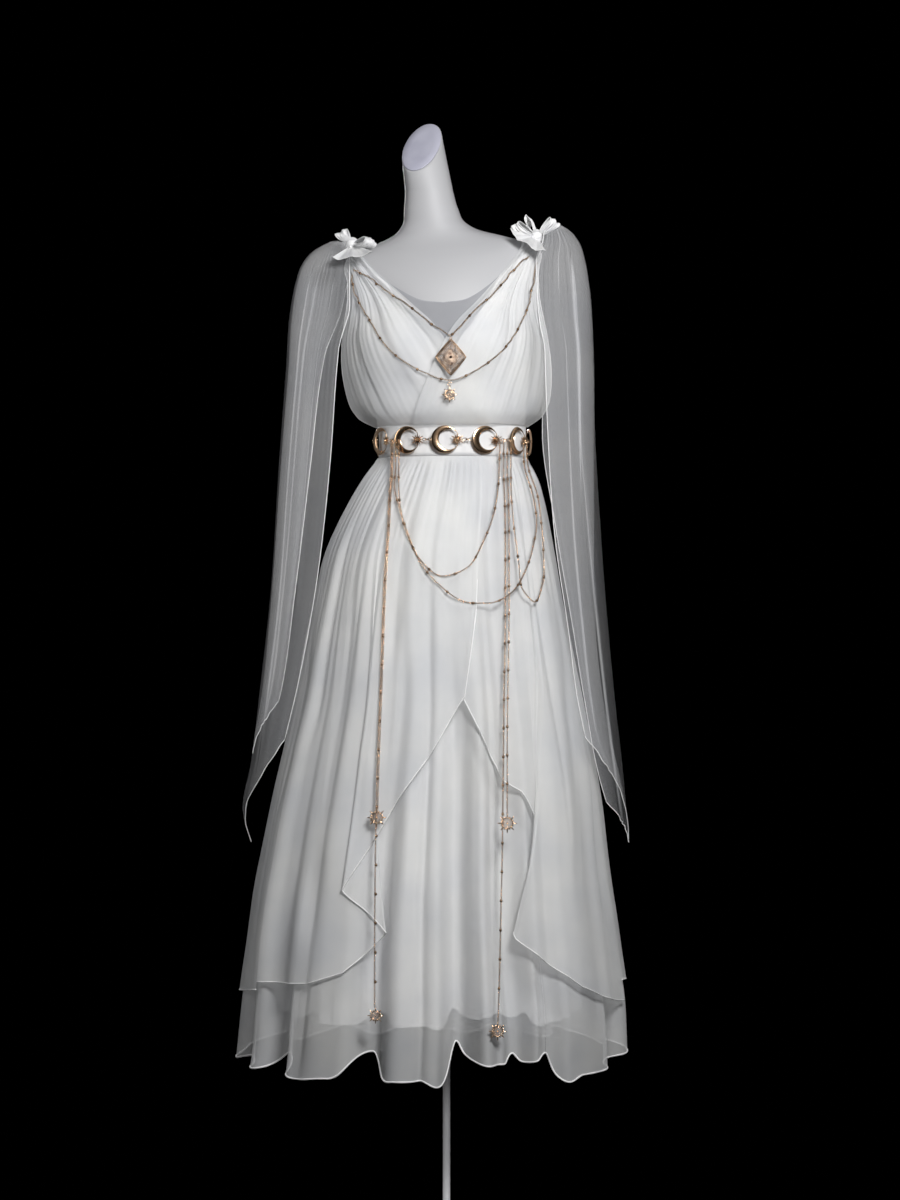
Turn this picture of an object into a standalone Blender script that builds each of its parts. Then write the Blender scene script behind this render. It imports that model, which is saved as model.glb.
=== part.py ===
"""A draped white gown on a limbless dress form.

The gown is sheer organza over an opaque lining: a surplice bodice gathered from two shoulder knots,
a waistband, a full skirt with a shorter lining, a wrapped overskirt with a cascading hem, and two long
open sleeve panels. It wears two fine necklaces and a chain belt of crescent links with hanging strands.
The form is a smooth torso with a slanted neck, on a thin pole and a round base.

Metres, +Z up. The front faces -Y and the wearer's left is +X. The origin is the middle of the base's
underside. Angles run round the body from +X, so -90 degrees is the middle of the front.
"""

import math

import bpy
import numpy as np
from mathutils import Matrix, Vector
from mathutils.bvhtree import BVHTree

# Stand
BASE_RADIUS = 0.150
BASE_THICK = 0.010
COLLAR_RADIUS = 0.022
COLLAR_HEIGHT = 0.022
POLE_RADIUS = 0.006
SOCKET_RADIUS = 0.034
SOCKET_HEIGHT = 0.012

# Form
FORM_BOTTOM = 1.000
NECK_CUT_CENTRE = (-0.040, -0.002, 1.777)
NECK_CUT_RADIUS = 0.0325
NECK_CUT_RISE_X = 0.52
NECK_CUT_RISE_Y = 1.22
NECK_CAP_THICK = 0.002
FORM_COLUMNS = 24

# Cloth
SHEER = 0.0012
LINING = 0.0010
SEAM = 0.0004
BAND_THICK = 0.0026
BAND_OUT = 0.0013
BAND_TOP = 1.323
BAND_BOTTOM = 1.271
BODICE_BOTTOM = 1.3215
SKIRT_HEM = 0.292
LINING_HEM = 0.375
LINING_IN = 0.0016
BODICE_LINING_OUT = 0.0030
LINING_CLEAR = 0.0040
WAIST_GATHERS = 20
GATHER_DEPTH = 0.0022
OVERSKIRT_OUT = 0.006
OVERSKIRT_TOP_OUT = 0.0026
OVERSKIRT_FOLD = 0.45
PLEAT_STEP = 0.0035

# Belt and chains
LINK_COUNT = 11
MOON_RADIUS = 0.0225
MOON_INNER_RADIUS = 0.0175
MOON_INNER_SHIFT = 0.0045
MOON_MOUTH = math.radians(31)
STAR_PLACE = 0.0195
STAR_RAY = 0.0095
STAR_TALL_RAY = 0.0122
STAR_NOTCH = 0.0042
LINK_THICK = 0.0022
LINK_BAR = 0.0030
LINK_GAP = 0.0008
BELT_CLEAR = 0.0122
BELT_HEIGHT = 1.297
CHAIN_DIAMETER = 0.0018

# The places below are read as the front view shows them, in the plane of the pole. A point nearer the
# eye than that plane looks larger, and seen_at() undoes it.
EYE_DISTANCE = 5.0
EYE_X = 0.0057
EYE_HEIGHT = 1.040

# Cross-sections of the form: height, middle, half width, depth to the front, depth to the back, and how
# much the section rises for each metre to +X, because the form leans.
FORM_SECTIONS = np.array([
    # height, middle, half_width, front, back, lean
    (1.000, 0.0080, 0.1240, 0.0960, 0.1000, 0.00),
    (1.035, 0.0080, 0.1300, 0.1020, 0.1060, 0.00),
    (1.090, 0.0080, 0.1330, 0.1060, 0.1080, 0.00),
    (1.150, 0.0080, 0.1290, 0.1030, 0.1040, 0.00),
    (1.200, 0.0090, 0.1230, 0.0960, 0.0970, 0.00),
    (1.236, 0.0095, 0.1180, 0.0900, 0.0900, 0.00),
    (1.270, 0.0098, 0.1168, 0.0868, 0.0868, 0.00),
    (1.300, 0.0098, 0.1160, 0.0860, 0.0860, 0.00),
    (1.330, 0.0075, 0.1180, 0.0880, 0.0880, 0.00),
    (1.370, 0.0040, 0.1240, 0.0940, 0.0940, 0.00),
    (1.420, 0.0000, 0.1330, 0.1010, 0.1020, 0.00),
    (1.470, -0.003, 0.1390, 0.1030, 0.1060, 0.00),
    (1.520, -0.005, 0.1450, 0.0960, 0.1040, 0.02),
    (1.560, -0.006, 0.1510, 0.0840, 0.0960, 0.05),
    (1.590, -0.006, 0.1530, 0.0700, 0.0820, 0.07),
    (1.606, -0.007, 0.1460, 0.0600, 0.0700, 0.07),
    (1.618, -0.009, 0.1280, 0.0520, 0.0600, 0.07),
    (1.628, -0.012, 0.1000, 0.0470, 0.0530, 0.07),
    (1.638, -0.015, 0.0720, 0.0440, 0.0490, 0.06),
    (1.652, -0.020, 0.0530, 0.0420, 0.0460, 0.04),
    (1.677, -0.025, 0.0440, 0.0400, 0.0430, 0.02),
    (1.705, -0.028, 0.0390, 0.0380, 0.0400, 0.00),
])
CUP_SIDE, CUP_HEIGHT, CUP_WIDTH, CUP_TALL, CUP_RISE = 0.066, 1.452, 0.046, 0.050, 0.020

# How far the bodice cloth stands out from the form: it blouses over the waistband, most at the sides.
BODICE_EASE = np.array([
    # height, at_side, at_front
    (1.3215, 0.0053, 0.0053),
    (1.326, 0.0120, 0.0085),
    (1.337, 0.0260, 0.0145),
    (1.355, 0.0360, 0.0180),
    (1.380, 0.0400, 0.0170),
    (1.420, 0.0370, 0.0130),
    (1.470, 0.0280, 0.0095),
    (1.520, 0.0180, 0.0075),
    (1.560, 0.0110, 0.0078),
    (1.600, 0.0072, 0.0068),
    (1.640, 0.0062, 0.0062),
])

# Edges of a bodice panel, down from the shoulder: how far down the panel, the angle and the height.
# The front neck edge crosses the middle to the far side of the waist, and so laps over its twin.
FRONT_NECK_EDGE = np.array([
    # down, angle, height
    (0.00, -0.6, 1.628),
    (0.12, -28.0, 1.608),
    (0.30, -51.0, 1.563),
    (0.50, -71.0, 1.511),
    (0.65, -86.5, 1.470),
    (0.80, -101.0, 1.405),
    (1.00, -119.0, BODICE_BOTTOM),
])
BACK_NECK_EDGE = np.array([
    (0.00, 0.6, 1.628),
    (0.12, 26.0, 1.616),
    (0.30, 50.0, 1.598),
    (0.50, 72.0, 1.572),
    (0.65, 86.0, 1.530),
    (0.80, 89.8, 1.450),
    (1.00, 89.8, BODICE_BOTTOM),
])
ARMHOLE_EDGE = np.array([
    (0.00, 0.6, 1.595),
    (0.12, 13.0, 1.575),
    (0.30, 16.0, 1.540),
    (0.50, 9.0, 1.490),
    (0.65, 0.1, 1.450),
    (0.80, 0.1, 1.400),
    (1.00, 0.1, BODICE_BOTTOM),
])
# Top edge of the opaque bodice lining: angle from the side seam, and height.
LINING_NECKLINE = np.array([
    (1.0, 1.470), (12.0, 1.535), (24.0, 1.592), (40.0, 1.580), (60.0, 1.543), (75.0, 1.528), (90.0, 1.524),
])

# Where the skirt front's columns lie between its seams: closest at the hem's narrow gaps.
FRONT_COLUMNS = np.array([
    -130.5, -127.5, -123.5, -119.5, -115.0, -111.0, -106.5, -103.5, -101.5, -99.5, -97.0, -92.5, -88.0, -84.5,
    -82.0, -79.5, -75.5, -71.5, -67.5, -64.5, -62.0, -59.0, -56.0,
])
# Outline of the skirt round its highest folds.
SKIRT_SECTIONS = np.array([
    # height, middle, half_width, half_depth
    (0.292, -0.0245, 0.3200, 0.2740),
    (0.388, -0.0220, 0.3125, 0.2660),
    (0.470, -0.0225, 0.3010, 0.2570),
    (0.551, -0.0225, 0.2895, 0.2470),
    (0.633, -0.0200, 0.2765, 0.2360),
    (0.714, -0.0170, 0.2635, 0.2240),
    (0.796, -0.0145, 0.2470, 0.2110),
    (0.877, -0.0125, 0.2300, 0.1980),
    (0.959, -0.0135, 0.2140, 0.1840),
    (1.040, -0.0130, 0.1970, 0.1700),
    (1.122, -0.0100, 0.1795, 0.1530),
    (1.203, 0.0010, 0.1515, 0.1240),
    (1.236, 0.0060, 0.1370, 0.1070),
    (1.270, 0.0098, 0.1200, 0.0900),
])
# The hem's line: it dips at the middle of each fold and lifts in the hollows between them.
SKIRT_HEM_LINE = np.array([
    # angle, height
    (-180.0, 0.2935), (-168.0, 0.3040), (-160.0, 0.2935), (-143.5, 0.2990), (-133.5, 0.3202), (-128.0, 0.3006),
    (-119.5, 0.2983), (-111.0, 0.3099), (-106.0, 0.3323), (-101.5, 0.3348), (-97.0, 0.2983), (-93.0, 0.2968),
    (-85.0, 0.3014), (-81.8, 0.3504), (-79.0, 0.3308), (-75.5, 0.3199), (-70.0, 0.3184), (-65.5, 0.3207),
    (-63.0, 0.3300), (-60.0, 0.3169), (-55.5, 0.3240), (-53.0, 0.3300), (-50.0, 0.2959), (-41.5, 0.2930),
    (-28.0, 0.2946), (-16.0, 0.3000), (0.0, 0.3060), (14.0, 0.3220), (27.0, 0.2980), (41.0, 0.3250),
    (54.0, 0.2960), (67.0, 0.3200), (80.0, 0.2970), (94.0, 0.3280), (107.0, 0.2960), (121.0, 0.3200),
    (135.0, 0.2960), (150.0, 0.3240), (165.0, 0.2970), (180.0, 0.2935),
])
# The hollows between the skirt's big folds, all round: where, how deep at the hem, and how wide.
SKIRT_HOLLOWS = np.array([
    # angle, depth, half_width
    (-168.0, 0.018, 9.0),
    (-133.5, 0.036, 8.0),
    (-101.5, 0.032, 5.5),
    (-81.5, 0.048, 5.0),
    (-63.0, 0.034, 4.5),
    (-53.0, 0.018, 4.0),
    (-16.0, 0.022, 9.0),
    (14.0, 0.030, 8.0),
    (41.0, 0.036, 7.0),
    (67.0, 0.030, 7.5),
    (94.0, 0.040, 7.0),
    (121.0, 0.028, 8.0),
    (150.0, 0.036, 7.5),
])


def curve_through(table, at, column):
    """Smooth curve through one column of a table whose first column is the parameter."""
    xs = table[:, 0]
    ys = table[:, column]
    slopes = np.gradient(ys, xs)
    climbs = np.diff(ys) / np.diff(xs)
    slopes[1:-1][climbs[1:] * climbs[:-1] <= 0] = 0.0
    i = np.clip(np.searchsorted(xs, at) - 1, 0, len(xs) - 2)
    step = xs[i + 1] - xs[i]
    t = np.clip((at - xs[i]) / step, 0, 1)
    start = (1 + 2 * t) * (1 - t) ** 2 * ys[i] + t * (1 - t) ** 2 * step * slopes[i]
    end = t * t * (3 - 2 * t) * ys[i + 1] + t * t * (t - 1) * step * slopes[i + 1]
    return start + end


def smooth_step(low, high, at):
    t = np.clip((at - low) / (high - low), 0, 1)
    return t * t * (3 - 2 * t)


def spread(count, start=0.0, end=1.0):
    return np.linspace(start, end, count)


def material(name, colour, roughness, metallic=0.0, alpha=1.0):
    made = bpy.data.materials.new(name)
    made.use_nodes = True
    shader = made.node_tree.nodes["Principled BSDF"]
    shader.inputs["Base Color"].default_value = (*colour, 1.0)
    shader.inputs["Roughness"].default_value = roughness
    shader.inputs["Metallic"].default_value = metallic
    shader.inputs["Alpha"].default_value = alpha
    made.diffuse_color = (*colour, alpha)
    return made


def new_object(name, data, finish):
    made = bpy.data.objects.new(name, data)
    data.materials.append(finish)
    PARTS.objects.link(made)
    return made


def mesh_of_grid(name, grid, closed_round=False):
    """A sheet of quads on a grid of points, rows by columns."""
    rows, columns = grid.shape[:2]
    row, column = np.meshgrid(np.arange(rows - 1), np.arange(columns - (not closed_round)), indexing="ij")
    right = (column + 1) % columns
    corners = [row * columns + column, (row + 1) * columns + column]
    corners += [(row + 1) * columns + right, row * columns + right]
    faces = np.stack(corners, axis=-1).reshape(-1, 4)
    mesh = bpy.data.meshes.new(name)
    mesh.from_pydata(grid.reshape(-1, 3).tolist(), [], faces.tolist())
    return mesh


def cloth(name, grid, thick, finish, closed_round=False):
    """A sheet of cloth: the grid is its middle surface."""
    sheet = new_object(name, mesh_of_grid(name, grid, closed_round), finish)
    sheet.data.shade_smooth()
    wall = sheet.modifiers.new("Wall", "SOLIDIFY")
    wall.thickness = thick
    wall.offset = 0.0
    return sheet


def loft(name, rings, finish):
    """A solid through closed rings of points, first ring at the bottom, with a flat face at each end."""
    mesh = mesh_of_grid(name, rings, closed_round=True)
    count = rings.shape[1]
    last = (rings.shape[0] - 1) * count
    faces = [tuple(reversed(face.vertices)) for face in mesh.polygons]
    faces.append(tuple(reversed(range(count))))
    faces.append(tuple(range(last, last + count)))
    points = [tuple(vertex.co) for vertex in mesh.vertices]
    mesh.clear_geometry()
    mesh.from_pydata(points, [], faces)
    solid = new_object(name, mesh, finish)
    mesh.shade_smooth()
    return solid


def turned(name, profile, finish, steps=32):
    """A profile of (radius, height) points, top to bottom, turned about the pole's axis."""
    mesh = bpy.data.meshes.new(name)
    points = [(radius, 0.0, height) for radius, height in profile]
    mesh.from_pydata(points, [(i, i + 1) for i in range(len(points) - 1)], [])
    solid = new_object(name, mesh, finish)
    screw = solid.modifiers.new("Turn", "SCREW")
    screw.steps = steps
    screw.render_steps = steps
    screw.use_merge_vertices = True
    screw.merge_threshold = 0.0001
    return solid


def tube(name, points, diameter, finish):
    """A round wire along points."""
    data = bpy.data.curves.new(name, "CURVE")
    data.dimensions = "3D"
    spline = data.splines.new("POLY")
    spline.points.add(len(points) - 1)
    for target, point in zip(spline.points, points):
        target.co = (*point, 1.0)
    data.bevel_depth = diameter / 2
    data.bevel_resolution = 1
    data.use_fill_caps = True
    return new_object(name, data, finish)


def plate(name, outlines, thick, place, finish):
    """A flat plate cut to one outer outline and any holes, then placed by a matrix."""
    data = bpy.data.curves.new(name, "CURVE")
    data.dimensions = "2D"
    data.fill_mode = "BOTH"
    data.extrude = thick / 2
    for outline in outlines:
        spline = data.splines.new("POLY")
        spline.points.add(len(outline) - 1)
        spline.use_cyclic_u = True
        for target, (x, y) in zip(spline.points, outline):
            target.co = (x, y, 0.0, 1.0)
    made = new_object(name, data, finish)
    made.matrix_world = place
    return made


def frame_at(point, across, facing):
    """Places a plate: its X along across, its Y up and its Z along facing."""
    z = Vector(facing).normalized()
    x = Vector(across)
    x = (x - z * x.dot(z)).normalized()
    y = z.cross(x)
    return Matrix.Translation(Vector(point)) @ Matrix((x, y, z)).transposed().to_4x4()


def smooth_route(points, count):
    """Points at equal steps along a smooth curve through a route's own points."""
    points = np.asarray(points, float)
    steps = np.linalg.norm(np.diff(points, axis=0), axis=1)
    along = np.concatenate([[0.0], np.cumsum(steps)])
    table = np.column_stack([along, points])
    at = spread(count, 0.0, along[-1])
    return np.stack([curve_through(table, at, column) for column in range(1, points.shape[1] + 1)], axis=-1)


def seen_at(x, z, y):
    """Where a point at depth y lies, if the front view shows it at x, z in the plane of the pole."""
    nearer = 1 + y / EYE_DISTANCE
    return EYE_X + (x - EYE_X) * nearer, EYE_HEIGHT + (z - EYE_HEIGHT) * nearer


# Dress form

def form_point(angle, height, out=0.0):
    """A point of the form's surface, moved out. Angle in degrees; both may be arrays."""
    turn = np.radians(angle)
    middle, half, front, back, lean = (curve_through(FORM_SECTIONS, height, c) for c in range(1, 6))
    depth = np.where(np.sin(turn) < 0, front, back) + out
    x = middle + (half + out) * np.cos(turn)
    y = depth * np.sin(turn)
    return np.stack([x, y, height + lean * x + 0 * turn], axis=-1)


def form_surface(angle, height, out):
    """As form_point, but moved out square to the form, which holds on top of the shoulders too."""
    angle, height = np.broadcast_arrays(np.asarray(angle, float), np.asarray(height, float))
    here = form_point(angle, height)
    round_it = form_point(angle + 0.5, height) - form_point(angle - 0.5, height)
    up = form_point(angle, height + 0.001) - form_point(angle, height - 0.001)
    normal = np.cross(round_it, up)
    normal /= np.linalg.norm(normal, axis=-1, keepdims=True)
    return here + normal * np.asarray(out)[..., None]


def neck_cut_ring(count):
    turn = np.radians(spread(count + 1, 0, 360)[:-1])
    x = NECK_CUT_RADIUS * np.cos(turn)
    y = NECK_CUT_RADIUS * np.sin(turn)
    z = NECK_CUT_RISE_X * x + NECK_CUT_RISE_Y * y
    return np.stack([x, y, z], axis=-1) + np.array(NECK_CUT_CENTRE)


def make_form():
    turn = spread(FORM_COLUMNS + 1, 0, 360)[:-1]
    rings = [form_point(turn, np.full(FORM_COLUMNS, height)) for height in FORM_SECTIONS[:, 0]]
    cut = neck_cut_ring(FORM_COLUMNS)
    rings += [0.5 * (rings[-1] + cut), cut]
    loft("form_torso", np.array(rings), FORM_WHITE)
    facing = np.array([-NECK_CUT_RISE_X, -NECK_CUT_RISE_Y, 1.0])
    facing /= np.linalg.norm(facing)
    centre = np.array(NECK_CUT_CENTRE)
    lower = centre + (cut - centre) * 0.97 + facing * SEAM
    loft("neck_cap", np.array([lower, lower + facing * NECK_CAP_THICK]), FORM_GREY)


def make_stand():
    socket_bottom = FORM_BOTTOM - SEAM - SOCKET_HEIGHT
    turned("pole_socket", [
        (0.0, socket_bottom + SOCKET_HEIGHT),
        (SOCKET_RADIUS, socket_bottom + SOCKET_HEIGHT),
        (SOCKET_RADIUS * 0.8, socket_bottom),
        (0.0, socket_bottom),
    ], CHROME)
    turned("stand_pole", [
        (0.0, socket_bottom - SEAM),
        (POLE_RADIUS, socket_bottom - SEAM),
        (POLE_RADIUS, BASE_THICK + COLLAR_HEIGHT + SEAM),
        (0.0, BASE_THICK + COLLAR_HEIGHT + SEAM),
    ], CHROME, 16)
    turned("stand_base", [
        (0.0, BASE_THICK + COLLAR_HEIGHT),
        (COLLAR_RADIUS * 0.6, BASE_THICK + COLLAR_HEIGHT),
        (COLLAR_RADIUS, BASE_THICK + 0.4 * COLLAR_HEIGHT),
        (COLLAR_RADIUS * 1.4, BASE_THICK),
        (BASE_RADIUS - 0.004, BASE_THICK),
        (BASE_RADIUS, BASE_THICK - 0.004),
        (BASE_RADIUS, 0.0),
        (0.0, 0.0),
    ], CHROME, 32)


# Skirts

def skirt_folds(angle, height):
    """How far the skirt lies inside its outline: big hollows that deepen to the hem, and waist gathers."""
    down = np.clip((BAND_BOTTOM - height) / (BAND_BOTTOM - SKIRT_HEM), 0, 1)
    hollow = np.zeros(np.broadcast(angle, height).shape)
    for where, depth, half_width in SKIRT_HOLLOWS:
        away = (angle - where + 180) % 360 - 180
        hollow = hollow - depth * np.exp(-(away / half_width) ** 2)
    drop = np.maximum(BAND_BOTTOM - height, 0)
    gather = GATHER_DEPTH * np.cos(np.radians(WAIST_GATHERS * angle)) - GATHER_DEPTH
    return hollow * down ** 1.15 + gather * (1 - np.exp(-drop / 0.012)) * np.exp(-drop / 0.10)


def skirt_point(angle, height, out, fold=1.0):
    """A point on the skirt's folds, moved out; fold is the share of their depth that a layer keeps."""
    angle, height, out = np.broadcast_arrays(
        np.asarray(angle, float), np.asarray(height, float), np.asarray(out, float)
    )
    turn = np.radians(angle)
    middle, half, depth = (curve_through(SKIRT_SECTIONS, height, c) for c in range(1, 4))
    normal_x = depth * np.cos(turn)
    normal_y = half * np.sin(turn)
    size = np.hypot(normal_x, normal_y)
    move = skirt_folds(angle, height) * fold + out
    x = middle + half * np.cos(turn) + normal_x / size * move
    y = depth * np.sin(turn) + normal_y / size * move
    return np.stack([x, y, height], axis=-1)


def skirt_angle(x, height):
    """The angle at which the front of the skirt's outline lies at x."""
    middle = curve_through(SKIRT_SECTIONS, height, 1)
    half = curve_through(SKIRT_SECTIONS, height, 2)
    return -np.degrees(np.arccos(np.clip((x - middle) / half, -1, 1)))


def make_skirt():
    top = BAND_BOTTOM - SEAM
    down = spread(9)[:, None] ** 1.25
    for name, start, end, columns in (
        ("skirt_front", -133.5, -53.0, 25),
        ("skirt_right_side", -53.0, 14.0, 17),
        ("skirt_back", 14.0, 150.0, 29),
        ("skirt_left_side", 150.0, 226.5, 19),
    ):
        angles = spread(columns, start + 0.08, end - 0.08)
        if name == "skirt_front":
            angles = np.concatenate([angles[:1], FRONT_COLUMNS, angles[-1:]])
        hem = np.interp((angles + 180) % 360 - 180, SKIRT_HEM_LINE[:, 0], SKIRT_HEM_LINE[:, 1])
        cloth(name, skirt_point(angles[None, :], top - (top - hem) * down, 0.0), SHEER, ORGANZA)


def make_skirt_lining():
    heights = BAND_BOTTOM - 0.0024 - (BAND_BOTTOM - 0.0024 - LINING_HEM) * spread(8) ** 1.2
    inside = LINING_IN + LINING_CLEAR * smooth_step(0.0, 0.05, BAND_BOTTOM - heights)
    for name, start, end in (("skirt_lining_front", -179.8, -0.2), ("skirt_lining_back", 0.2, 179.8)):
        angles = spread(17, start, end)
        deepest = skirt_folds(SKIRT_HOLLOWS[3, 0], heights)
        cloth(name, skirt_point(angles[None, :], heights[:, None], (deepest - inside)[:, None], 0.0), LINING, SATIN)


# Overskirt panels, as key columns from one edge to the other: the angle at the waist, where the column
# meets the hem, and the layer it lies on there. Half layers are the turns of a pleat.
OVERSKIRT_LEFT = np.array([
    # waist_angle, hem_x, hem_height, layer, columns_to_next
    (-154.50, -0.2991, 0.432, 0.0, 2),
    (-143.00, -0.2148, 0.440, 0.0, 2),
    (-133.00, -0.1586, 0.461, 0.0, 2),
    (-124.00, -0.0958, 0.521, 0.0, 1),
    (-123.00, -0.0935, 0.524, 0.5, 1),
    (-122.00, -0.0958, 0.527, 1.0, 3),
    (-118.50, -0.1550, 0.583, 1.0, 1),
    (-117.50, -0.1575, 0.588, 1.5, 1),
    (-116.50, -0.1550, 0.593, 2.0, 3),
    (-106.00, -0.0753, 0.728, 2.0, 2),
    (-97.00, -0.0255, 0.798, 2.0, 2),
    (-86.00, 0.0276, 0.890, 2.0, 2),
    (-73.40, 0.0434, 1.026, 2.0, 0),
])
OVERSKIRT_RIGHT = np.array([
    (-70.60, 0.0276, 0.884, 0.0, 2),
    (-64.00, 0.0573, 0.821, 0.0, 2),
    (-57.00, 0.0918, 0.758, 0.0, 2),
    (-50.50, 0.1184, 0.740, 0.0, 2),
    (-46.00, 0.1400, 0.700, 0.0, 1),
    (-44.50, 0.1425, 0.690, 0.5, 1),
    (-43.00, 0.1400, 0.680, 1.0, 2),
    (-40.00, 0.1130, 0.525, 1.0, 1),
    (-39.00, 0.1105, 0.518, 1.5, 1),
    (-38.00, 0.1130, 0.511, 2.0, 2),
    (-33.00, 0.1430, 0.483, 2.0, 1),
    (-28.00, 0.1665, 0.464, 2.0, 2),
    (-21.00, 0.2026, 0.434, 2.0, 2),
    (-14.00, 0.2523, 0.408, 1.2, 2),
    (-7.50, 0.2873, 0.393, 0.0, 0),
])


def make_overskirt_front(name, keys):
    order = np.concatenate([
        spread(int(row[4]), i, i + 1 - 1 / row[4]) for i, row in enumerate(keys) if row[4]
    ] + [[len(keys) - 1]])
    waist, hem_x, hem, layer = (np.interp(order, np.arange(len(keys)), keys[:, c]) for c in range(4))
    down = spread(9)[:, None] ** 1.4
    heights = BAND_BOTTOM - SEAM + (hem - BAND_BOTTOM + SEAM) * down
    angles = waist + (skirt_angle(hem_x, hem) - waist) * down ** 1.6
    out = OVERSKIRT_TOP_OUT + (OVERSKIRT_OUT - OVERSKIRT_TOP_OUT) * smooth_step(0, 0.06, down)
    out = out + PLEAT_STEP * layer * smooth_step(0.02, 0.36, down)
    cloth(name, skirt_point(angles, heights, out, OVERSKIRT_FOLD), SHEER, ORGANZA)


def make_overskirt_back():
    angles = spread(27, -7.35, 205.35)
    down = spread(9)[:, None] ** 1.4
    hem = 0.414 + 0.012 * np.cos(np.radians(angles * 3 + 40))
    heights = BAND_BOTTOM - SEAM + (hem - BAND_BOTTOM + SEAM) * down
    out = OVERSKIRT_TOP_OUT + (OVERSKIRT_OUT - OVERSKIRT_TOP_OUT) * smooth_step(0, 0.06, down)
    cloth("overskirt_back", skirt_point(angles[None, :], heights, out, OVERSKIRT_FOLD), SHEER, ORGANZA)


# Bodice

def bodice_ease(angle, height):
    """How far the bodice stands out from the form: blousing, and the round of each cup."""
    side = curve_through(BODICE_EASE, height, 1)
    front = curve_through(BODICE_EASE, height, 2)
    sideways = np.cos(np.radians(angle)) ** 2
    half = curve_through(FORM_SECTIONS, height, 2)
    away = (np.abs(half * np.cos(np.radians(angle))) - CUP_SIDE) / CUP_WIDTH
    cup = CUP_RISE * np.exp(-away ** 2 - ((height - CUP_HEIGHT) / CUP_TALL) ** 2)
    facing_front = smooth_step(0.15, 0.5, -np.sin(np.radians(angle)))
    return front + (side - front) * sideways + cup * facing_front


def bodice_grid(neck_edge, front, left, rows, columns, folds, over):
    """A gathered panel between its armhole edge and its neck edge, with folds fanning from the shoulder."""
    down = spread(rows)[:, None]
    across = spread(columns)[None, :]
    sign = -1 if front else 1
    outer_angle = sign * curve_through(ARMHOLE_EDGE, down, 1)
    outer_height = curve_through(ARMHOLE_EDGE, down, 2)
    inner_angle = curve_through(neck_edge, down, 1)
    inner_height = curve_through(neck_edge, down, 2)
    angle = outer_angle + (inner_angle - outer_angle) * across
    height = outer_height + (inner_height - outer_height) * across
    depth = 0.0024 * np.sin(np.pi * np.clip(down * 1.02, 0, 1)) ** 0.8
    fold = depth * np.cos(2 * np.pi * folds * across + 1.2)
    lap = over * smooth_step(-45, -60, angle) if front else 0.0
    out = bodice_ease(angle, height) + fold + lap
    if left:
        angle = sign * 180 - angle
    return form_surface(angle, height, out)


def make_bodice():
    for side, left in (("left", True), ("right", False)):
        over = 0.0 if left else 0.0062
        front = bodice_grid(FRONT_NECK_EDGE, True, left, 11, 13, 4, over)
        cloth(f"bodice_front_{side}", front, SHEER, ORGANZA)
        back = bodice_grid(BACK_NECK_EDGE, False, left, 9, 10, 3, 0.0)
        cloth(f"bodice_back_{side}", back, SHEER, ORGANZA)


def make_bodice_lining():
    for name, sign in (("bodice_lining_front", -1), ("bodice_lining_back", 1)):
        angles = 90 - 89 * np.cos(np.pi * spread(15))
        from_side = np.minimum(angles, 180 - angles)
        top = np.interp(from_side, LINING_NECKLINE[:, 0], LINING_NECKLINE[:, 1])
        bottom = BAND_TOP + 0.001
        heights = top + (bottom - top) * spread(8)[:, None]
        out = np.full(heights.shape, BODICE_LINING_OUT)
        cloth(name, form_surface(sign * angles[None, :], heights, out), LINING, SATIN)


def make_waistband():
    angles = spread(31, 0, 360)[:-1]
    heights = np.array([BAND_TOP, BELT_HEIGHT, BAND_BOTTOM])[:, None]
    out = BAND_OUT + BAND_THICK / 2
    cloth("waistband", form_point(angles[None, :], heights + 0 * angles[None, :], out), BAND_THICK, SATIN, True)


# Sleeve panels: where each hangs, as height, inner x, outer x, and depth from the shoulder line.
SLEEVE_LEFT_FRONT = np.array([
    # height, inner_x, outer_x, depth
    (0.640, -0.300, -0.3170, 0.050),
    (0.704, -0.286, -0.3317, 0.060),
    (0.774, -0.270, -0.3187, 0.066),
    (0.895, -0.242, -0.3040, 0.068),
    (1.040, -0.216, -0.2877, 0.066),
    (1.262, -0.191, -0.2730, 0.062),
    (1.413, -0.180, -0.2616, 0.058),
    (1.518, -0.169, -0.2535, 0.050),
    (1.560, -0.165, -0.2450, 0.042),
    (1.589, -0.162, -0.2340, 0.034),
    (1.612, -0.1622, -0.2120, 0.024),
    (1.624, -0.1638, -0.1880, 0.016),
])
SLEEVE_LEFT_BACK = np.array([
    (0.740, -0.306, -0.3170, 0.050),
    (0.790, -0.300, -0.3160, 0.056),
    (0.895, -0.272, -0.3000, 0.066),
    (1.040, -0.250, -0.2860, 0.072),
    (1.262, -0.222, -0.2700, 0.074),
    (1.413, -0.205, -0.2580, 0.068),
    (1.518, -0.185, -0.2500, 0.056),
    (1.560, -0.176, -0.2420, 0.046),
    (1.589, -0.168, -0.2310, 0.036),
    (1.612, -0.162, -0.2100, 0.024),
    (1.625, -0.166, -0.1880, 0.016),
])
SLEEVE_RIGHT_FRONT = np.array([
    (0.640, 0.294, 0.2975, 0.052),
    (0.681, 0.288, 0.2945, 0.060),
    (0.748, 0.256, 0.2830, 0.070),
    (0.822, 0.222, 0.2660, 0.074),
    (0.877, 0.212, 0.2560, 0.074),
    (0.999, 0.197, 0.2430, 0.072),
    (1.128, 0.179, 0.2404, 0.068),
    (1.317, 0.166, 0.2404, 0.064),
    (1.456, 0.161, 0.2380, 0.056),
    (1.555, 0.158, 0.2320, 0.042),
    (1.594, 0.160, 0.2257, 0.036),
    (1.625, 0.160, 0.2150, 0.028),
    (1.642, 0.163, 0.2010, 0.020),
    (1.650, 0.168, 0.1880, 0.014),
])
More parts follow.
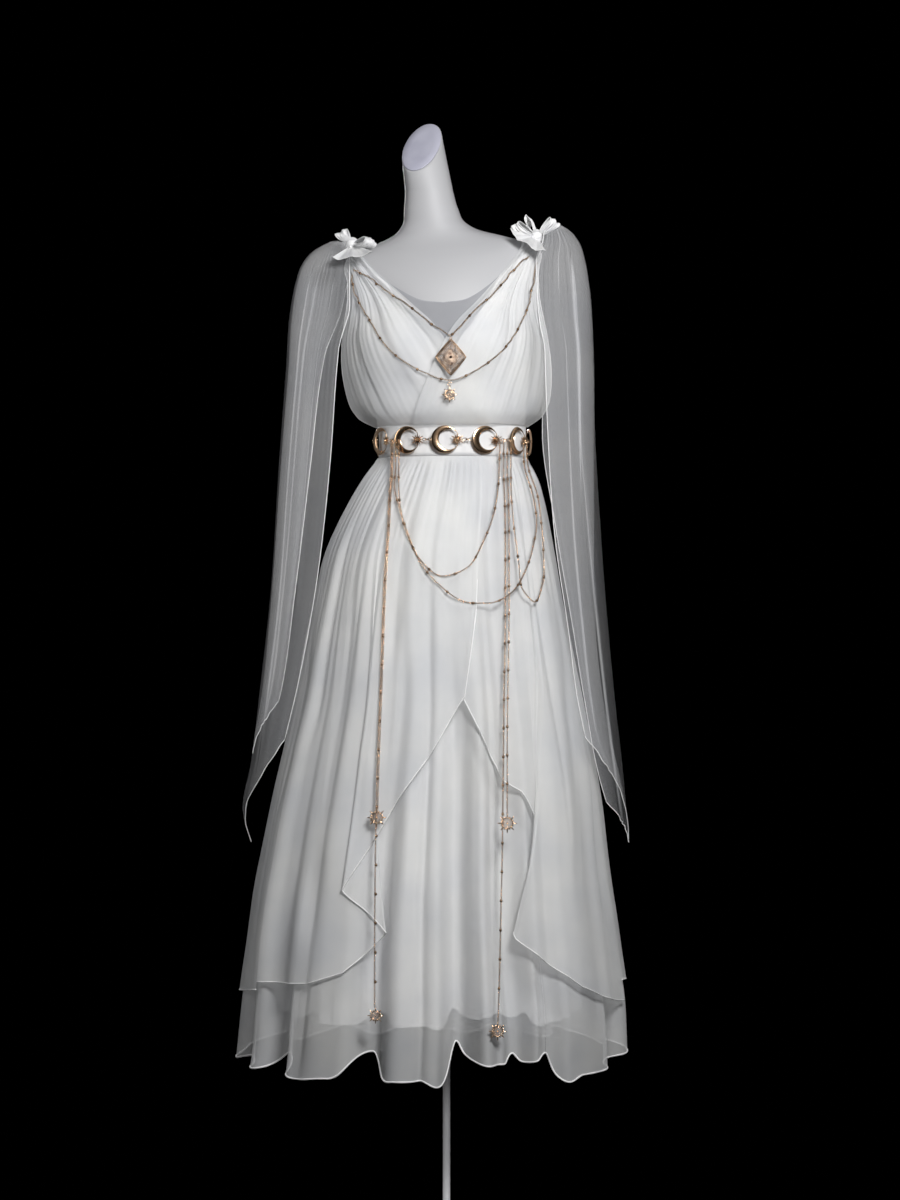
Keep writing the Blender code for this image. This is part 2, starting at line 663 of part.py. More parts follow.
SLEEVE_RIGHT_BACK = np.array([
    (0.640, 0.286, 0.2975, 0.052),
    (0.747, 0.252, 0.2890, 0.070),
    (0.877, 0.226, 0.2747, 0.078),
    (0.999, 0.205, 0.2630, 0.080),
    (1.170, 0.175, 0.2502, 0.080),
    (1.317, 0.155, 0.2420, 0.078),
    (1.456, 0.158, 0.2395, 0.064),
    (1.555, 0.158, 0.2325, 0.044),
    (1.594, 0.160, 0.2250, 0.036),
    (1.625, 0.160, 0.2140, 0.028),
    (1.642, 0.163, 0.2000, 0.020),
    (1.650, 0.168, 0.1880, 0.014),
])


def clear_of_gown(points, margin):
    """Moves points that lie inside the worn gown's outline out to it."""
    x, y, z = np.moveaxis(points, -1, 0)
    half_low = curve_through(SKIRT_SECTIONS, z, 2) + OVERSKIRT_OUT
    deep_low = curve_through(SKIRT_SECTIONS, z, 3) + OVERSKIRT_OUT
    half_high = curve_through(FORM_SECTIONS, z, 2) + curve_through(BODICE_EASE, z, 1)
    deep_high = curve_through(FORM_SECTIONS, z, 4) + curve_through(BODICE_EASE, z, 1)
    low = z < BAND_TOP
    middle = np.where(low, curve_through(SKIRT_SECTIONS, z, 1), curve_through(FORM_SECTIONS, z, 1))
    half = np.where(low, half_low, half_high) + margin
    deep = np.where(low, deep_low, deep_high) + margin
    inside = np.hypot((x - middle) / half, y / deep)
    grow = np.where(inside < 1, 1 / np.maximum(inside, 0.2), 1.0)
    return np.stack([middle + (x - middle) * grow, y * grow, z], axis=-1)


def make_sleeve(name, table, toward, inner_hem, outer_hem, waves):
    """One hanging layer, from the fold at the outer side round to its free inner edge."""
    down = spread(12)[:, None] ** 1.1
    across = spread(7)[None, :]
    top = table[-1, 0]
    hem = outer_hem + (inner_hem - outer_hem) * across
    height = top + (hem - top) * down
    inner, outer, depth = (curve_through(table, height, c) for c in (1, 2, 3))
    turn = np.pi / 2 * across
    ripple = 0.0035 * np.sin(np.pi * down) * np.cos(2 * np.pi * waves * across)
    x = outer + (inner - outer) * (1 - np.cos(turn)) - np.sign(outer) * ripple * np.sin(turn)
    y = toward * (SEAM + (depth + ripple) * np.sin(turn))
    cloth(name, clear_of_gown(np.stack([x, y + 0 * x, height], axis=-1), 0.004), SHEER, TULLE)


def make_sleeves():
    make_sleeve("sleeve_left_front", SLEEVE_LEFT_FRONT, -1, 0.815, 0.646, 2.0)
    make_sleeve("sleeve_left_back", SLEEVE_LEFT_BACK, 1, 0.872, 0.790, 2.5)
    make_sleeve("sleeve_right_front", SLEEVE_RIGHT_FRONT, -1, 0.822, 0.650, 2.0)
    make_sleeve("sleeve_right_back", SLEEVE_RIGHT_BACK, 1, 0.706, 0.645, 2.5)


# Shoulder bows

def bow_loop(name, root, tip, broad, puff):
    """A ribbon that leaves the knot, rounds over at the tip and comes back under itself."""
    root, tip = np.array(root), np.array(tip)
    reach = tip - root
    length = np.linalg.norm(reach)
    along = reach / length
    sideways = np.cross(along, (0.0, 0.55, 0.83))
    sideways /= np.linalg.norm(sideways)
    lift = np.cross(sideways, along)
    path = np.pi * spread(10, 0.05, 0.95)[:, None, None]
    across = spread(4, -1, 1)[None, :, None]
    start = np.sin(path[0])
    out = (np.sin(path) - start) / (1 - start)
    half_width = broad / 2 * (0.35 + 0.65 * out ** 0.7)
    crimp = 0.0016 * np.cos(2.5 * np.pi * across) * out
    rise = -puff * np.sin(2 * path) * (1 - 0.35 * across ** 2) + crimp
    grid = root + along * length * out + lift * rise + sideways * half_width * across
    cloth(name, grid, SHEER, SATIN)


def bow_tail(name, knot_name, corner_a, corner_b):
    """A loose end of the ribbon that widens from the knot to a slanted edge."""
    corner_a, corner_b = np.array(corner_a), np.array(corner_b)
    root = on_knot(knot_name, (corner_a + corner_b) / 2)
    down = spread(5)[:, None, None]
    across = spread(6)[None, :, None]
    edge = corner_a + (corner_b - corner_a) * across
    narrow = root + (edge - corner_a - (corner_b - corner_a) / 2) * 0.15
    ripple = 0.003 * np.cos(3 * np.pi * across) * down * np.array([0.2, -0.8, 0.4])
    cloth(name, narrow + (edge - narrow) * down + ripple, SHEER, SATIN)


def knot(name, centre, size):
    """The gathered middle that the loops leave: a small round pinched across."""
    bpy.ops.mesh.primitive_uv_sphere_add(segments=12, ring_count=6, radius=1.0)
    ball = bpy.context.active_object
    ball.name = name
    for vertex in ball.data.vertices:
        pinch = 1 - KNOT_PINCH * math.cos(6 * math.atan2(vertex.co.z, vertex.co.y))
        place = Vector(size) * pinch
        vertex.co = [c * p + m for c, p, m in zip(vertex.co, place, centre)]
    ball.data.materials.append(SATIN)
    ball.data.shade_smooth()
    for holder in list(ball.users_collection):
        holder.objects.unlink(ball)
    PARTS.objects.link(ball)


LEFT_KNOT = (-0.1525, -0.014, 1.6165)
RIGHT_KNOT = (0.1460, -0.014, 1.6296)
KNOT_SIZE = (0.0105, 0.0125, 0.0125)
KNOT_PINCH = 0.04


def on_knot(name, toward):
    """Where a ribbon leaves the knot on its way to a point, just clear of it."""
    bpy.context.view_layer.update()
    tree = BVHTree.FromObject(PARTS.objects[name], bpy.context.evaluated_depsgraph_get())
    centre = Vector(LEFT_KNOT if "left" in name else RIGHT_KNOT)
    reach = (Vector(toward) - centre).normalized()
    return np.array(tree.ray_cast(centre, reach)[0] + reach * (SHEER / 2 + 0.0005))


def make_bows():
    knot("bow_left_knot", LEFT_KNOT, KNOT_SIZE)
    for part, tip, broad, puff in (
        ("loop_inner", (-0.124, -0.062, 1.618), 0.028, 0.0070),
        ("loop_outer", (-0.1735, -0.027, 1.643), 0.024, 0.0065),
    ):
        bow_loop(f"bow_left_{part}", on_knot("bow_left_knot", tip), tip, broad, puff)
    bow_tail("bow_left_tail", "bow_left_knot", (-0.184, -0.062, 1.590), (-0.122, -0.086, 1.596))
    knot("bow_right_knot", RIGHT_KNOT, KNOT_SIZE)
    for part, tip, broad, puff in (
        ("loop_inner", (0.113, -0.046, 1.650), 0.028, 0.0070),
        ("loop_back", (0.128, 0.026, 1.664), 0.026, 0.0065),
        ("loop_outer", (0.176, -0.030, 1.668), 0.024, 0.0065),
    ):
        bow_loop(f"bow_right_{part}", on_knot("bow_right_knot", tip), tip, broad, puff)
    bow_tail("bow_right_tail", "bow_right_knot", (0.104, -0.062, 1.636), (0.160, -0.074, 1.606))


# Belt

def star_outline(start, end, step_degrees=22.5):
    """The star's edge between two of its rays' angles: rays every 45 degrees, notches between."""
    points = []
    angle = start
    while angle <= end + 0.01:
        ray = STAR_TALL_RAY if abs(abs(angle - 180) - 90) < 1 or abs(abs(angle) - 90) < 1 else STAR_RAY
        radius = ray if round(angle / step_degrees) % 2 == 0 else STAR_NOTCH
        turn = math.radians(angle)
        points.append((STAR_PLACE + radius * math.cos(turn), radius * math.sin(turn)))
        angle += step_degrees
    return points


def link_outlines(link_length):
    """A crescent whose mouth holds a star; a bar from the star reaches the next link."""
    outer = spread(12, MOON_MOUTH, 2 * math.pi - MOON_MOUTH)
    crescent = [(MOON_RADIUS * math.cos(t), MOON_RADIUS * math.sin(t)) for t in outer]
    bar_end = link_length - MOON_RADIUS - LINK_GAP
    bar = [(bar_end, -LINK_BAR / 2), (bar_end, LINK_BAR / 2)]
    lower, upper = star_outline(-90, -22.5), star_outline(22.5, 90)
    inner = spread(8, 2 * math.pi - MOON_MOUTH - 0.25, MOON_MOUTH + 0.25)
    hole = [
        (MOON_INNER_SHIFT + MOON_INNER_RADIUS * math.cos(t), MOON_INNER_RADIUS * math.sin(t)) for t in inner
    ]
    return [crescent + lower + bar + upper, hole + star_outline(90, 270)[1:-1]]


def belt_path():
    """The belt's closed curve: angles and the length along it."""
    angles = spread(721, 0, 360)
    points = form_point(angles, np.full(angles.shape, BELT_HEIGHT), BAND_THICK + BELT_CLEAR)
    steps = np.linalg.norm(np.diff(points, axis=0), axis=1)
    return points, np.concatenate([[0.0], np.cumsum(steps)])


def make_belt():
    points, along = belt_path()
    total = along[-1]
    first = np.interp(264.7, spread(721, 0, 360), along)
    corners = []
    for i in range(LINK_COUNT + 1):
        place = (first - MOON_RADIUS + i * total / LINK_COUNT) % total
        corners.append([np.interp(place, along, points[:, c]) for c in range(3)])
    corners = np.array(corners)
    for i in range(LINK_COUNT):
        tangent = corners[i + 1] - corners[i]
        outlines = link_outlines(np.linalg.norm(tangent))
        tangent /= np.linalg.norm(tangent)
        facing = np.cross(tangent, (0, 0, 1))
        centre = corners[i] + tangent * MOON_RADIUS
        plate(f"belt_link_{i + 1:02d}", outlines, LINK_THICK, frame_at(centre, tangent, facing), GOLD)


# Chains and charms: routes as the front view shows them, x and height in the plane of the pole.
BELT_TIE = 1.3012
V_NECKLACE = [
    (-0.151, 1.578), (-0.130, 1.567), (-0.102, 1.548), (-0.073, 1.527), (-0.043, 1.504), (-0.014, 1.483),
    (0.007, 1.471), (0.017, 1.480), (0.043, 1.509), (0.071, 1.536), (0.095, 1.562), (0.121, 1.589),
    (0.133, 1.600),
]
SWAG_NECKLACE = [
    (-0.154, 1.570), (-0.150, 1.545), (-0.138, 1.518), (-0.121, 1.490), (-0.104, 1.462), (-0.071, 1.431),
    (-0.030, 1.408), (0.006, 1.398), (0.033, 1.406), (0.053, 1.418), (0.089, 1.446), (0.115, 1.480),
    (0.130, 1.513), (0.139, 1.547), (0.144, 1.575), (0.146, 1.592),
]
LEFT_STRAND = [
    (-0.089, BELT_TIE), (-0.089, 1.258), (-0.092, 1.211), (-0.094, 1.166), (-0.100, 1.073), (-0.105, 0.939),
    (-0.110, 0.809), (-0.113, 0.721), (-0.115, 0.600), (-0.116, 0.466), (-0.116, 0.376),
]
RIGHT_STRAND_OUTER = [
    (0.099, BELT_TIE), (0.099, 1.258), (0.101, 1.203), (0.102, 1.126), (0.102, 1.033), (0.100, 0.898),
    (0.099, 0.809), (0.099, 0.692),
]
RIGHT_STRAND_INNER = [
    (0.093, BELT_TIE), (0.093, 1.258), (0.095, 1.203), (0.096, 1.126), (0.096, 1.033), (0.094, 0.898),
    (0.093, 0.809), (0.092, 0.719), (0.091, 0.633), (0.089, 0.543), (0.087, 0.453), (0.084, 0.352),
]
SWAG_INNER = [
    (-0.083, BELT_TIE), (-0.083, 1.258), (-0.085, 1.229), (-0.077, 1.190), (-0.063, 1.144), (-0.042, 1.105),
    (-0.007, 1.079), (0.035, 1.094), (0.059, 1.133), (0.076, 1.177), (0.084, 1.221), (0.086, 1.258),
    (0.087, BELT_TIE),
]
SWAG_OUTER = [
    (-0.077, BELT_TIE), (-0.078, 1.250), (-0.074, 1.185), (-0.061, 1.143), (-0.042, 1.100), (-0.011, 1.064),
    (0.027, 1.038), (0.069, 1.035), (0.107, 1.053), (0.128, 1.086), (0.141, 1.126), (0.147, 1.166),
    (0.141, 1.210), (0.127, 1.258), (0.1260, BELT_TIE),
]
SIDE_LOOP = [
    (0.105, BELT_TIE), (0.105, 1.250), (0.107, 1.188), (0.112, 1.143), (0.118, 1.099), (0.125, 1.056),
    (0.144, 1.037), (0.157, 1.068), (0.158, 1.118), (0.155, 1.162), (0.148, 1.212), (0.133, 1.258),
    (0.1310, BELT_TIE),
]
UNDER_NECKLACES = ("bodice_front_left", "bodice_front_right", "bodice_lining_front", "form_torso")
BELT_LINKS = [f"belt_link_{i:02d}" for i in range(1, LINK_COUNT + 1)]
CHARM_RADIUS = 0.0150
SMALL_CHARM_RADIUS = 0.0125
CHARM_THICK = 0.0020
LEFT_CHARM_HEIGHT = 0.701
PENDANT_RING_TOP = 0.0225
PENDANT_HALF_WIDTH = 0.0246
PENDANT_HALF_HEIGHT = 0.0290


def skirt_front(x, height, out):
    """Depth of the skirt's outline in front, moved out."""
    middle, half, deep = (curve_through(SKIRT_SECTIONS, height, c) for c in (1, 2, 3))
    inside = np.clip((x - middle) / (half + out), -0.985, 0.985)
    return -(deep + out) * np.sqrt(1 - inside ** 2)


def on_surface(surface, x, height, out):
    """The point of a surface that the front view shows at x and height."""
    depth = 0.0
    for _ in range(4):
        true_x, true_height = seen_at(x, height, depth)
        depth = surface(true_x, true_height, out)
    return np.stack([true_x, depth, true_height], axis=-1)


def on_cloth(names, places, out):
    """Points in front of the named sheets where the front view shows places, and moved out square to the cloth."""
    bpy.context.view_layer.update()
    graph = bpy.context.evaluated_depsgraph_get()
    eye = Vector((EYE_X, -EYE_DISTANCE, EYE_HEIGHT))
    nearest = {}
    for piece in (PARTS.objects[name] for name in names):
        tree = BVHTree.FromObject(piece, graph)
        place = piece.matrix_world
        for i, (x, height) in enumerate(places):
            sight = Vector((x, 0.0, height)) - eye
            met, normal, _, distance = tree.ray_cast(place.inverted() @ eye, place.inverted().to_3x3() @ sight)
            if met and distance < nearest.get(i, (math.inf,))[0]:
                normal = place.to_3x3() @ normal
                normal = -normal if normal.dot(sight) > 0 else normal
                nearest[i] = (distance, place @ met + normal * out)
    return np.array([nearest[i][1] for i in sorted(nearest)])


def taut(points):
    """Bridges hollows: no point lies deeper than the straight line between its neighbours toward the front."""
    along = np.concatenate([[0.0], np.cumsum(np.linalg.norm(np.diff(points, axis=0), axis=1))])
    hull = []
    for i in range(len(points)):
        while len(hull) > 1 and sags(along, points[:, 1], hull[-2], hull[-1], i):
            hull.pop()
        hull.append(i)
    points[:, 1] = np.interp(along, along[hull], points[hull, 1])
    return points


def sags(along, depth, first, middle, last):
    share = (along[middle] - along[first]) / (along[last] - along[first])
    return depth[middle] > depth[first] + (depth[last] - depth[first]) * share


def necklace(name, route, count, out, pendant_top):
    """A chain over the bodice, tied at both ends, whose lowest point carries a pendant."""
    places = smooth_route(route, count)
    points = on_cloth(UNDER_NECKLACES, places, out)
    points[[0, -1]] = on_cloth(UNDER_NECKLACES, places[[0, -1]], CHAIN_DIAMETER / 2 + 2 * SEAM)
    points[np.argmin(points[:, 2])] = pendant_top
    tube(name, taut(points), CHAIN_DIAMETER, GOLD)


def strand(name, route, count, out):
    """A chain tied to the belt's links: it lies out on the skirt below. Returns its points."""
    flat = smooth_route(route, count)
    stand_off = np.interp(flat[:, 1], (1.20, 1.262), (out, 0.0155))
    points = on_surface(skirt_front, flat[:, 0], flat[:, 1], stand_off)
    for end in (0, -1):
        if flat[end, 1] == BELT_TIE:
            points[end] = on_cloth(BELT_LINKS, [flat[end]], CHAIN_DIAMETER / 2 + 0.0005)[0]
    tube(name, points, CHAIN_DIAMETER, GOLD)
    return points


def point_at_height(points, height):
    return np.array([np.interp(height, points[::-1, 2], points[::-1, c]) for c in range(3)])


def sun_outline(radius, top):
    """Eight rays; the top one reaches up to the chain."""
    points = [(0.0, top)]
    for i in range(1, 16):
        reach = radius if i % 2 == 0 else radius * 0.52
        points.append((reach * math.sin(math.pi * i / 8), reach * math.cos(math.pi * i / 8)))
    return points


def hang_charm(name, above, end, radius, in_front=0.0):
    """A sun charm below the end of a strand, in line with it; or in front of a point of the strand."""
    up = np.array(above) - np.array(end)
    up /= np.linalg.norm(up)
    facing = np.cross((1.0, 0.0, 0.0), up)
    centre = end + facing * in_front if in_front else end - up * (radius + SEAM)
    plate(name, [sun_outline(radius, radius)], CHARM_THICK, frame_at(centre, (1, 0, 0), facing), GOLD)


def hang_pendant(name, x, height, outline, top, out):
    """A pendant in front of the bodice. Returns where its chain passes, just above its top."""
    centre = on_cloth(UNDER_NECKLACES, [(x, height)], 0.0)[0] - np.array((0.0, out, 0.0))
    plate(name, [outline], CHARM_THICK, frame_at(centre, (1, 0, 0), (0, -1, 0)), GOLD)
    return centre + np.array((0.0, 0.0, top + CHAIN_DIAMETER / 2 + SEAM))


def make_chains():
    high, wide = PENDANT_HALF_HEIGHT, PENDANT_HALF_WIDTH
    rhombus = [(0, high), (-wide, 0), (0, -high), (wide, 0)]
    carrier = hang_pendant("pendant_rhombus", 0.007, 1.4355, rhombus, high, 0.0075)
    necklace("necklace_v", V_NECKLACE, 17, 0.0045, carrier)
    sun = sun_outline(SMALL_CHARM_RADIUS, PENDANT_RING_TOP)
    carrier = hang_pendant("pendant_sun", 0.0050, 1.3745, sun, PENDANT_RING_TOP, 0.0088)
    necklace("necklace_swag", SWAG_NECKLACE, 19, 0.0048, carrier)
    left = strand("strand_left", LEFT_STRAND, 13, 0.0155)
    outer = strand("strand_right_outer", RIGHT_STRAND_OUTER, 10, 0.0138)
    inner = strand("strand_right_inner", RIGHT_STRAND_INNER, 13, 0.0090)
    strand("swag_inner", SWAG_INNER, 17, 0.0158)
    strand("swag_outer", SWAG_OUTER, 20, 0.0182)
    strand("side_loop", SIDE_LOOP, 17, 0.0206)
    in_front = (CHAIN_DIAMETER + CHARM_THICK) / 2 + SEAM
    above, middle = (point_at_height(left, LEFT_CHARM_HEIGHT + rise) for rise in (0.01, 0.0))
    hang_charm("charm_left_upper", above, middle, CHARM_RADIUS, in_front)
    hang_charm("charm_left_lower", left[-2], left[-1], SMALL_CHARM_RADIUS)
    hang_charm("charm_right_upper", outer[-2], outer[-1], CHARM_RADIUS)
    hang_charm("charm_right_lower", inner[-2], inner[-1], CHARM_RADIUS * 0.93)


for old in list(bpy.data.objects):
    bpy.data.objects.remove(old)
PARTS = bpy.data.collections.new("gown_on_dress_form")
bpy.context.scene.collection.children.link(PARTS)

ORGANZA = material("organza", (0.86, 0.87, 0.88), 0.55, alpha=0.75)
TULLE = material("tulle", (0.80, 0.81, 0.83), 0.60, alpha=0.55)
SATIN = material("satin_lining", (0.90, 0.90, 0.90), 0.40)
FORM_WHITE = material("form_white", (0.82, 0.82, 0.86), 0.30)
FORM_GREY = material("form_grey", (0.50, 0.50, 0.56), 0.35)
GOLD = material("rose_gold", (0.76, 0.56, 0.40), 0.25, metallic=1.0)
CHROME = material("chrome", (0.80, 0.80, 0.82), 0.12, metallic=1.0)

make_stand()
make_form()
make_bodice_lining()
make_bodice()
make_waistband()
make_skirt_lining()
make_skirt()
make_overskirt_front("overskirt_front_left", OVERSKIRT_LEFT)
make_overskirt_front("overskirt_front_right", OVERSKIRT_RIGHT)
make_overskirt_back()
make_sleeves()
make_bows()
make_belt()
make_chains()
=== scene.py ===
# %% [markdown]
# # A draped gown on a dress form
# A sheer white gown hangs on a limbless form: organza over a satin lining, gathered bodice, waistband,
# wrapped overskirt, and two long open sleeves that fall from bows on the shoulders. Fine chains, charms
# and a belt of crescent links lie over the cloth.
# The solids of all this are loaded first. They hold the sizes. This script then lays the finished cloth,
# metal and gloss over them, piece by piece. Lengths are metres, the front faces -Y and up is +Z.

# %% Load the solids
import math

import bpy
import numpy as np
from mathutils import Matrix, Vector
from mathutils.bvhtree import BVHTree


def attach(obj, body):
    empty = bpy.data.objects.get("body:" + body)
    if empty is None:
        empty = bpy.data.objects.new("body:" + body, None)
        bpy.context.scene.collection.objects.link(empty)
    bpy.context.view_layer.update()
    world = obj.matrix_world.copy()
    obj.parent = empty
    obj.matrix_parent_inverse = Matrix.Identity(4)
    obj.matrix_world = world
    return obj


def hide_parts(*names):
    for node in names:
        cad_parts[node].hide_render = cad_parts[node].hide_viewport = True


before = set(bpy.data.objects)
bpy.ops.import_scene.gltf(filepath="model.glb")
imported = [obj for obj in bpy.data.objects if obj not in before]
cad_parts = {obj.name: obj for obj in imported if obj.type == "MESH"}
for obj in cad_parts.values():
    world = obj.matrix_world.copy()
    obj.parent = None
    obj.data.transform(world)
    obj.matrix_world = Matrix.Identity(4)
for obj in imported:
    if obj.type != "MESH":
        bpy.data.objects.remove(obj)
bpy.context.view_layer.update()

# %% [markdown]
# ## Curves and grids
# Every cloth here is a grid of points: rows run down it, columns run across it, and each point is worked
# out from two numbers. A table of a few measured sections gives the outline, and a smooth curve through
# the table gives every level between them. Working on whole arrays keeps it short and fast.

# %% Curves through tables
def spread(count, start=0.0, end=1.0):
    return np.linspace(start, end, count)


def full_turn(count):
    """Equal steps once round, in radians."""
    return spread(count + 1, 0, 2 * np.pi)[:-1]


def smooth_step(low, high, at):
    """0 below low, 1 above high, and 3t^2 - 2t^3 between them."""
    t = np.clip((at - low) / (high - low), 0, 1)
    return t * t * (3 - 2 * t)


def window(rise_from, rise_to, fall_from, fall_to, at):
    """1 on a stretch and 0 outside it, with a smooth step up and a smooth step down."""
    return smooth_step(rise_from, rise_to, at) * (1 - smooth_step(fall_from, fall_to, at))


def curve_through(table, at, column):
    """Smooth curve through one column of a table whose first column is the parameter: a cubic on each
    step, with the slopes of the neighbours, and level where the column turns back."""
    xs = table[:, 0]
    ys = table[:, column]
    slopes = np.gradient(ys, xs)
    climbs = np.diff(ys) / np.diff(xs)
    slopes[1:-1][climbs[1:] * climbs[:-1] <= 0] = 0.0
    i = np.clip(np.searchsorted(xs, at) - 1, 0, len(xs) - 2)
    step = xs[i + 1] - xs[i]
    t = np.clip((at - xs[i]) / step, 0, 1)
    start = (1 + 2 * t) * (1 - t) ** 2 * ys[i] + t * (1 - t) ** 2 * step * slopes[i]
    end = t * t * (3 - 2 * t) * ys[i + 1] + t * t * (t - 1) * step * slopes[i + 1]
    return start + end


def uneven(u, v, seed, across, along, parts=7):
    """Soft uneven relief between about -1 and 1: a sum of sine waves over u and v whose counts, turns
    and strengths come from a seeded generator, so it is the same on every run."""
    draw = np.random.default_rng(seed)
    total = 0.0
    for _ in range(parts):
        count_u = across * draw.uniform(0.5, 1.5)
        count_v = along * draw.uniform(-1.0, 1.0)
        total = total + draw.uniform(0.5, 1.0) * np.sin(
            2 * np.pi * (count_u * u + count_v * v) + draw.uniform(0, 2 * np.pi)
        )
    return total / (0.55 * parts)


# %% [markdown]
# ## From a grid to a mesh
# A grid becomes quads, and each quad is smooth shaded. The UV map holds lengths in metres, measured
# along the rows and down the columns, so that a weave has the same thread count on every panel.
# Cloth is left as one layer: light passes once through each layer, as it does through real organza.

# %% Grids, lengths and pieces
GOWN = bpy.data.collections.new("gown")
bpy.context.scene.collection.children.link(GOWN)
CLOTH = {}


def along_path(points):
    """Length from the first point of a path to each of its points."""
    return np.concatenate([[0.0], np.cumsum(np.linalg.norm(np.diff(points, axis=0), axis=1))])


def running_length(grid, axis):
    """Length along one axis of the grid, summed from point to point and averaged over the other axis."""
    steps = np.linalg.norm(np.diff(grid, axis=axis), axis=-1).mean(axis=1 - axis)
    return np.concatenate([[0.0], np.cumsum(steps)])


def cloth_sizes(grid, closed_round=False):
    """Widest row, longest column and area of a grid, each summed from point to point."""
    closed = np.concatenate([grid, grid[:, :1]], axis=1) if closed_round else grid
    wide = np.linalg.norm(np.diff(closed, axis=1), axis=-1).sum(axis=1).max()
    long = np.linalg.norm(np.diff(closed, axis=0), axis=-1).sum(axis=0).max()
    one = closed[1:, 1:] - closed[:-1, :-1]
    other = closed[1:, :-1] - closed[:-1, 1:]
    area = np.linalg.norm(np.cross(one, other), axis=-1).sum() / 2
    return float(wide), float(long), float(area)


def grid_quads(rows, columns, closed_down, closed_round):
    """Corner numbers of the quads between neighbouring rows and columns of a grid."""
    row, column = np.meshgrid(
        np.arange(rows - (not closed_down)), np.arange(columns - (not closed_round)), indexing="ij"
    )
    below, right = (row + 1) % rows * columns, (column + 1) % columns
    here = row * columns
    return np.stack([here + column, here + right, below + right, below + column], axis=-1).reshape(-1, 4)


def thread_lengths(grid, quads, closed_round):
    """UVs in metres at each corner of each quad: u along the rows and v down the columns."""
    rows, columns = grid.shape[:2]
    across, down = running_length(grid, 1), running_length(grid, 0)
    u = np.broadcast_to(across, (rows, columns)).reshape(-1)[quads]
    v = np.broadcast_to(down[:, None], (rows, columns)).reshape(-1)[quads]
    if closed_round:
        whole = across[-1] + across[1]
        u = np.where((quads % columns == 0) & (u.max(axis=1, keepdims=True) > whole / 2), whole, u)
    return np.stack([u, v], axis=-1)


def add_piece(name, points, faces, finish, slot):
    """A smooth mesh with one finish, which moves with the part."""
    mesh = bpy.data.meshes.new(name)
    mesh.from_pydata(points.tolist(), [], faces)
    mesh.materials.append(finish)
    mesh.shade_smooth()
    piece = bpy.data.objects.new(name, mesh)
    GOWN.objects.link(piece)
    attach(piece, "root")
    return piece


def panel(name, grid, finish, slot, closed_round=False, thick=0.0, centre=(0.0, 0.0)):
    """A sheet of quads on a grid of points, rows by columns, with its front away from centre."""
    rows, columns = grid.shape[:2]
    quads = grid_quads(rows, columns, False, closed_round)[:, [0, 3, 2, 1]]
    here = grid[rows // 2, columns // 2]
    below, beside = grid[rows // 2 + 1, columns // 2], grid[rows // 2, columns // 2 + 1]
    if np.cross(below - here, beside - here)[:2] @ (here[:2] - np.array(centre)) < 0:
        quads = quads[:, ::-1]
    piece = add_piece(name, grid.reshape(-1, 3), quads.tolist(), finish, slot)
    layer = piece.data.uv_layers.new(name="threads")
    layer.data.foreach_set("uv", thread_lengths(grid, quads, closed_round).reshape(-1))
    if thick:
        wall = piece.modifiers.new("wall", "SOLIDIFY")
        wall.thickness = thick
        wall.offset = 0.0
    CLOTH[name] = (piece, *cloth_sizes(grid, closed_round))
    return piece


print("grid helpers ready")

# %% [markdown]
# ## Wires and solids
# Chain links, rings and frames are bent from round wire, and the form is one closed body. Both are rings
# of points joined to a tube: for a wire the rings stand square to its path. A curve with a bevel would
# give a wire as well, but points kept in arrays can be turned, moved and copied hundreds of times.

# %% Wires and solids
UP = (0.0, 0.0, 1.0)


def unit(vectors):
    return vectors / np.maximum(np.linalg.norm(vectors, axis=-1, keepdims=True), 1e-12)


def ellipse(radius_x, radius_y, turn):
    """Points of a flat ellipse round the origin; either radius may change with the turn."""
    return np.stack([radius_x * np.cos(turn), radius_y * np.sin(turn), 0 * turn], axis=-1)


def wire_grid(path, radius, sides, upright=UP, closed=False):
    """Rings round a path: the centre, plus radius times cos and sin of the turn along two directions
    square to the path. radius may change along it. A closed path takes its directions round the loop."""
    tangent = np.roll(path, -1, axis=0) - np.roll(path, 1, axis=0) if closed else np.gradient(path, axis=0)
    tangent = unit(tangent)
    side = unit(np.cross(tangent, upright))
    rise = np.cross(side, tangent)
    turn = full_turn(sides)[:, None]
    ring = side[:, None] * np.cos(turn) + rise[:, None] * np.sin(turn)
    return path[:, None] + ring * np.broadcast_to(radius, path.shape[:1])[:, None, None]


def rings_shape(rings, closed=False):
    """Points and faces of a tube through rings of points; closed joins its last ring to its first."""
    count, sides = rings.shape[:2]
    faces = grid_quads(count, sides, closed, True).tolist()
    if not closed:
        last = (count - 1) * sides
        faces += [list(range(sides))[::-1], list(range(last, last + sides))]
    return rings.reshape(-1, 3), faces


def round_wire(path, radius, sides=6, closed=False):
    """A wire along a path, with closed ends or joined to a loop."""
    return rings_shape(wire_grid(path, radius, sides, UP, closed), closed)


def hoop(centre, radius_x, radius_y, wire, steps=12, sides=5):
    """A ring in its own XY plane: an ellipse of wire."""
    return round_wire(ellipse(radius_x, radius_y, full_turn(steps)) + np.array(centre), wire, sides, True)


def placed(shape, matrix):
    """A shape moved by a 4x4 matrix."""
    points, faces = shape
    turned = np.array(matrix)
    return points @ turned[:3, :3].T + turned[:3, 3], faces


def joined(shapes):
    """Several shapes in one list of points and one list of faces."""
    points, faces, start = [], [], 0
    for some_points, some_faces in shapes:
        points.append(some_points)
        faces += [[index + start for index in face] for face in some_faces]
        start += len(some_points)
    return np.concatenate(points), faces


def hard_piece(name, shape, finish, slot="rose_gold", sharp=None):
    """A piece from a shape; edges steeper than sharp, in degrees, stay crisp."""
    piece = add_piece(name, *shape, finish, slot)
    if sharp:
        piece.data.set_sharp_from_angle(angle=math.radians(sharp))
    return piece


